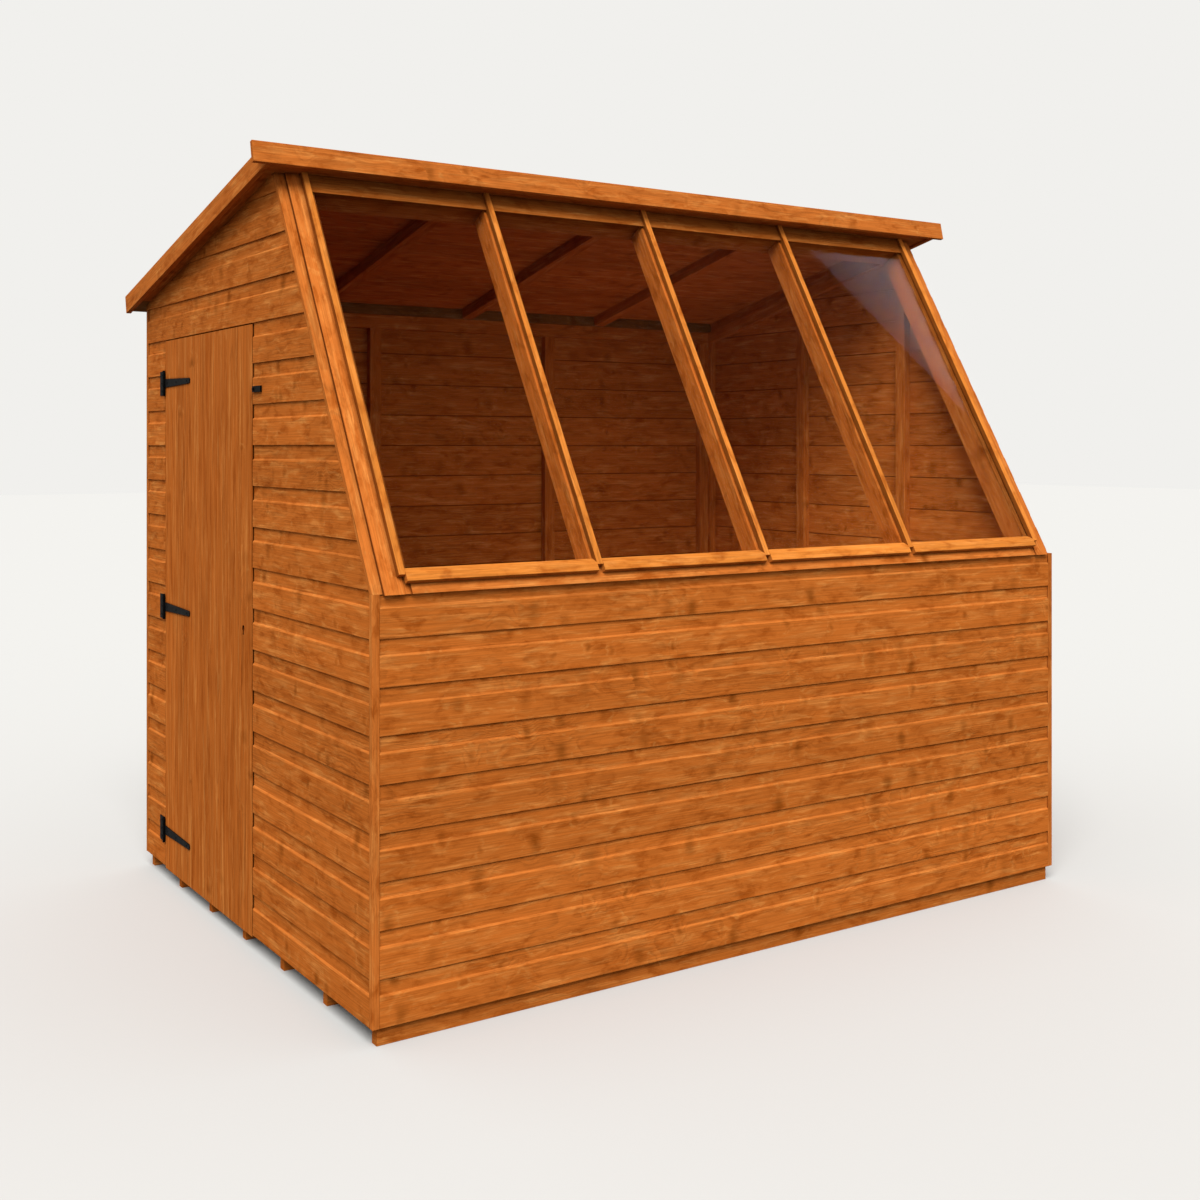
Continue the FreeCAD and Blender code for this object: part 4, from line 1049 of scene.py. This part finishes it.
@dataclass
class FeltLap:
    """Upper sheet of felt, lapped over the lower one and nailed with clouts."""

    soffit: float = 2278.8 * MM
    top: float = 51.5 * MM
    thick: float = 1.5 * MM
    first_x: float = -31.0 * MM
    last_x: float = 2427.0 * MM
    front: float = 579.0 * MM
    lap: float = 991.0 * MM
    eaves: float = 1895.0 * MM
    nail_step: float = 95.0 * MM
    nail_inset: float = 14.0 * MM
    rows: int = 160
    swells: tuple[float, float] = (31.0, 74.0)
    edge_swell: float = 23.0
    edge_sway: float = 1.2 * MM
    clout: DomedHead = DomedHead(5.0 * MM, 1.4 * MM, tuple(np.linspace(-1.0, 1.0, 5)),
                                 tuple(np.linspace(-1.0, 1.0, 5)))

    def axes(self) -> np.ndarray:
        """Rows along the shed, down the roof and square out of it."""
        fall = np.array(Run.PITCH.value)
        return np.array(((1.0, 0.0, 0.0), fall, np.cross((1.0, 0.0, 0.0), fall)))

    def build(self) -> list[bpy.types.Object]:
        """Lay the sheet and drive the nails.

        Returns:
            The sheet and its nails.
        """
        return [self.lay_sheet(), self.drive_nails()]

    def lay_sheet(self) -> bpy.types.Object:
        """Carry the sheet's profile along the shed.

        The profile rises from the lower sheet at the front, runs down the roof, drops again at the
        lap and returns along the lower sheet. The height has two slow waves along the shed, which
        grow towards the lap and leave the loose edge a little uneven. The first and last profiles
        lie on the lower sheet.

        Returns:
            The sheet.
        """
        x = np.concatenate(((self.first_x,), np.linspace(self.first_x, self.last_x, self.rows),
                            (self.last_x,)))
        share = np.array((0.0, 0.0, 0.3, 0.6, 0.85, 0.97, 1.0, 1.0, 0.97, 0.85, 0.6, 0.3, 0.0))
        lifted = np.array((0.0, 1.0, 1.0, 1.0, 1.0, 1.0, 0.9, 0.0, 0.0, 0.0, 0.0, 0.0, 0.0))
        slow, quick = self.swells
        wave = 0.6 + 0.25 * np.sin(x * slow) + 0.15 * np.sin(x * quick + 1.0)
        edge = np.sin(x * self.edge_swell) * self.edge_sway
        height = lifted * self.thick * (1.0 + 0.5 * np.outer(wave, share ** 4))
        height[[0, -1]] = 0.0
        down = self.front + (self.lap - self.front + edge[:, None]) * share
        grid = np.stack((np.broadcast_to(x[:, None], down.shape), down, self.top + height), axis=-1)
        points = grid.reshape(-1, 3) @ self.axes() + CORNER + (0.0, 0.0, self.soffit)
        mesh = bpy.data.meshes.new("felt_upper_sheet")
        mesh.from_pydata(points.tolist(), [], quads(*down.shape).tolist())
        merged(mesh)
        mesh.materials.append(FELT.material())
        return put(bpy.data.objects.new("felt_upper_sheet", mesh), "shed", "roofing_felt")

    def drive_nails(self) -> bpy.types.Object:
        """Set clouts along the lap, the eaves and both ends, about 95 mm apart.

        Returns:
            The nails.
        """
        x = np.arange(self.first_x + self.nail_inset, self.last_x, self.nail_step)
        down = np.arange(self.front + self.nail_step, self.eaves, self.nail_step)
        on_lap = np.stack((x, np.full_like(x, self.lap - self.nail_inset),
                           np.full_like(x, self.top + self.thick * 1.2)), axis=1)
        on_eaves = np.stack((x, np.full_like(x, self.eaves), np.full_like(x, self.top)), axis=1)
        rise = np.where(down < self.lap, self.top + self.thick, self.top)
        ends = [np.stack((np.full_like(down, side), down, rise), axis=1)
                for side in (self.first_x + self.nail_inset, self.last_x - self.nail_inset)]
        axes = self.axes()
        places = np.concatenate((on_lap, on_eaves, *ends)) @ axes + CORNER + (0.0, 0.0, self.soffit)
        mesh = self.clout.at("felt_clouts", places, axes)
        mesh.materials.append(IRON.material())
        return put(bpy.data.objects.new("felt_clouts", mesh), "shed", "ironwork")


@dataclass(frozen=True)
class Lamp:
    """Very broad distant lamp."""

    name: str
    level: float
    spread: float
    shines_from: tuple[float, float, float]

    def build(self) -> None:
        """Hang the lamp so that it shines from its direction."""
        light = bpy.data.lights.new(self.name, "SUN")
        light.energy = self.level
        light.angle = self.spread
        lamp = bpy.data.objects.new(self.name, light)
        x, y, z = self.shines_from
        lamp.rotation_euler = (math.atan2(math.hypot(x, y), z), 0.0, math.atan2(x, -y))
        bpy.context.scene.collection.objects.link(lamp)


@dataclass(frozen=True)
class InsideFill:
    """Weak lamp low inside the shed that lifts the roof's underside and isn't seen itself."""

    name: str = "inside_fill"
    level: float = 3.7
    place: tuple[float, float, float] = (0.45, -0.3, 0.35)
    tilt: float = math.radians(42.0)
    length: float = 1.2
    width: float = 0.8

    def build(self) -> None:
        """Stand the lamp on its place, shining up and to one side."""
        light = bpy.data.lights.new(self.name, "AREA")
        light.energy = self.level
        light.shape = "RECTANGLE"
        light.size = self.length
        light.size_y = self.width
        lamp = bpy.data.objects.new(self.name, light)
        lamp.location = self.place
        lamp.rotation_euler = (math.pi, self.tilt, 0.0)
        lamp.visible_camera = False
        lamp.visible_glossy = False
        bpy.context.scene.collection.objects.link(lamp)


@dataclass(frozen=True)
class MirrorCard:
    """Pale card that the last pane mirrors.

    The corners are where the mirrored card shows, as shares of the picture's width and height.
    The distance is a multiple of the way from the mirrored camera to the glass.
    """

    name: str
    corners: tuple[tuple[float, float], ...]
    glow: float
    distance: float
    colour: str = "#ECEEFF"

    def hang(self, points: np.ndarray) -> None:
        """Hang the card at its corners, seen by mirror rays alone."""
        mesh = bpy.data.meshes.new(self.name)
        mesh.from_pydata(points.tolist(), [], [tuple(range(len(points)))])
        material, tree = fresh_material(self.name + "_glow")
        light = add(tree, "Emission", {"Color": linear(self.colour), "Strength": self.glow})
        add(tree, "OutputMaterial", {"Surface": light})
        mesh.materials.append(material)
        card = bpy.data.objects.new(self.name, mesh)
        card.visible_camera = False
        card.visible_diffuse = False
        card.visible_transmission = False
        card.visible_shadow = False
        bpy.context.scene.collection.objects.link(card)


def by_sight(tree: bpy.types.NodeTree, unseen: Feed, seen: Feed) -> bpy.types.Node:
    """Pick one colour for light that bounces, and another for what the eye sees.

    Args:
        tree: node tree that gets the choice.
        unseen: colour that lights the shed.
        seen: colour that shows straight, in a mirror and through glass.

    Returns:
        The chosen colour.
    """
    path = add(tree, "LightPath", {})
    share = path.outputs["Is Camera Ray"]
    for kind in ("Is Glossy Ray", "Is Transmission Ray"):
        share = add(tree, "Math", {0: share, 1: path.outputs[kind]}, operation="MAXIMUM")
    return blend(tree, share, unseen, seen)


@dataclass
class Studio:
    """Pale floor, soft light and a camera at the photograph's place."""

    floor_colour: str = "#BAB9B6"
    floor_bounce: str = "#4C4B49"
    floor_half: float = 40.0
    backdrop: str = "#F1F0ED"
    sky_level: float = 0.88
    lamps: tuple[Lamp | InsideFill, ...] = (
        Lamp("broad_lamp", 3.9, math.radians(38.0), (-0.38, -0.50, 0.78)),
        InsideFill(),
    )
    cards: tuple[MirrorCard, ...] = (
        MirrorCard("mirror_card_0", ((0.675, 0.208), (0.765, 0.216), (0.832, 0.372)), 7.5, 1.8),
        MirrorCard("mirror_card_1", ((0.697, 0.209), (0.765, 0.216), (0.832, 0.372)), 13.0, 1.7),
    )
    film: float = 36.0
    lens: float = 43.245
    shift: float = -0.1278
    stand: tuple[float, float, float] = (-2.6115, -4.0206, 1.4029)
    heading: float = math.radians(-33.608)

    def build(self) -> None:
        """Set up the floor, the light and the camera."""
        self.lay_floor()
        self.light()
        self.mirror_cards()
        self.set_camera()
        bpy.context.scene.view_settings.view_transform = "Standard"

    def lay_floor(self) -> None:
        """Lay one large level sheet, pale to the eye and duller to the light that bounces off it."""
        half = self.floor_half
        mesh = bpy.data.meshes.new("studio_floor")
        mesh.from_pydata([(-half, -half, 0), (half, -half, 0), (half, half, 0), (-half, half, 0)], [],
                         [(0, 1, 2, 3)])
        material, tree = fresh_material("studio_paper")
        colour = by_sight(tree, linear(self.floor_bounce), linear(self.floor_colour))
        surface = add(tree, "BsdfDiffuse", {"Color": colour})
        add(tree, "OutputMaterial", {"Surface": surface})
        mesh.materials.append(material)
        floor = bpy.data.objects.new("studio_floor", mesh)
        bpy.context.scene.collection.objects.link(floor)

    def light(self) -> None:
        """Light from an even sky, a broad lamp and a weak fill inside."""
        world = bpy.data.worlds.new("studio_sky")
        bpy.context.scene.world = world
        world.use_nodes = True
        tree = world.node_tree
        tree.nodes.clear()
        even = (self.sky_level, self.sky_level, self.sky_level, 1.0)
        colour = by_sight(tree, even, linear(self.backdrop))
        sky = add(tree, "Background", {"Color": colour, "Strength": 1.0})
        add(tree, "OutputWorld", {"Surface": sky})
        for lamp in self.lamps:
            lamp.build()

    def mirror_cards(self) -> None:
        """Place each card where the last pane mirrors it.

        The camera is mirrored in the plane of the glass. A card's corner lies on the line from
        that mirrored place through the point of the pane where the corner is to be seen.
        """
        across, ahead = math.cos(self.heading), -math.sin(self.heading)
        away = np.array((ahead, across, 0.0))
        right = np.array((across, -ahead, 0.0))
        up = np.array((0.0, 0.0, 1.0))
        eye = np.array(self.stand)
        facing = np.array((0.0, -math.cos(GLAZING_LEAN), math.sin(GLAZING_LEAN)))
        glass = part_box("window_pane_4")
        level = max(float(np.dot(corner, facing)) for corner in
                    ((0.0, glass[0][1], glass[0][2]), (0.0, glass[1][1], glass[1][2])))
        behind = eye - 2.0 * (eye @ facing - level) * facing
        focal = self.lens / self.film
        for card in self.cards:
            spots = np.array(card.corners) - (0.5, 0.5 + self.shift)
            lines = away + np.outer(spots[:, 0] / focal, right) + np.outer(-spots[:, 1] / focal, up)
            reach = (level - eye @ facing) / (lines @ facing)
            seen = eye + lines * reach[:, None]
            card.hang(behind + (seen - behind) * card.distance)

    def set_camera(self) -> None:
        """Stand the camera where the photograph was taken, looking level."""
        camera = bpy.data.cameras.new("photo_camera")
        camera.sensor_width = self.film
        camera.lens = self.lens
        camera.shift_y = self.shift
        viewer = bpy.data.objects.new("photo_camera", camera)
        viewer.location = self.stand
        viewer.rotation_euler = (math.radians(90.0), 0.0, self.heading)
        bpy.context.scene.collection.objects.link(viewer)
        bpy.context.scene.camera = viewer


def main() -> None:
    """Build the studio and the shed's sub-assemblies in order."""
    logging.basicConfig(level=logging.INFO, format="%(name)s: %(message)s")
    Studio().build()
    for part in (Floor(), FrontWall(), BackWall(), DoorEnd(), PlainEnd(), Strips(), GlazedPanel(),
                 Roof(), FeltLap(), Door(), Ironwork(), HingeScrews()):
        pieces = part.build()
        log.info("%s: %d pieces", type(part).__name__, len(pieces))


if __name__ == "__main__":
    main()
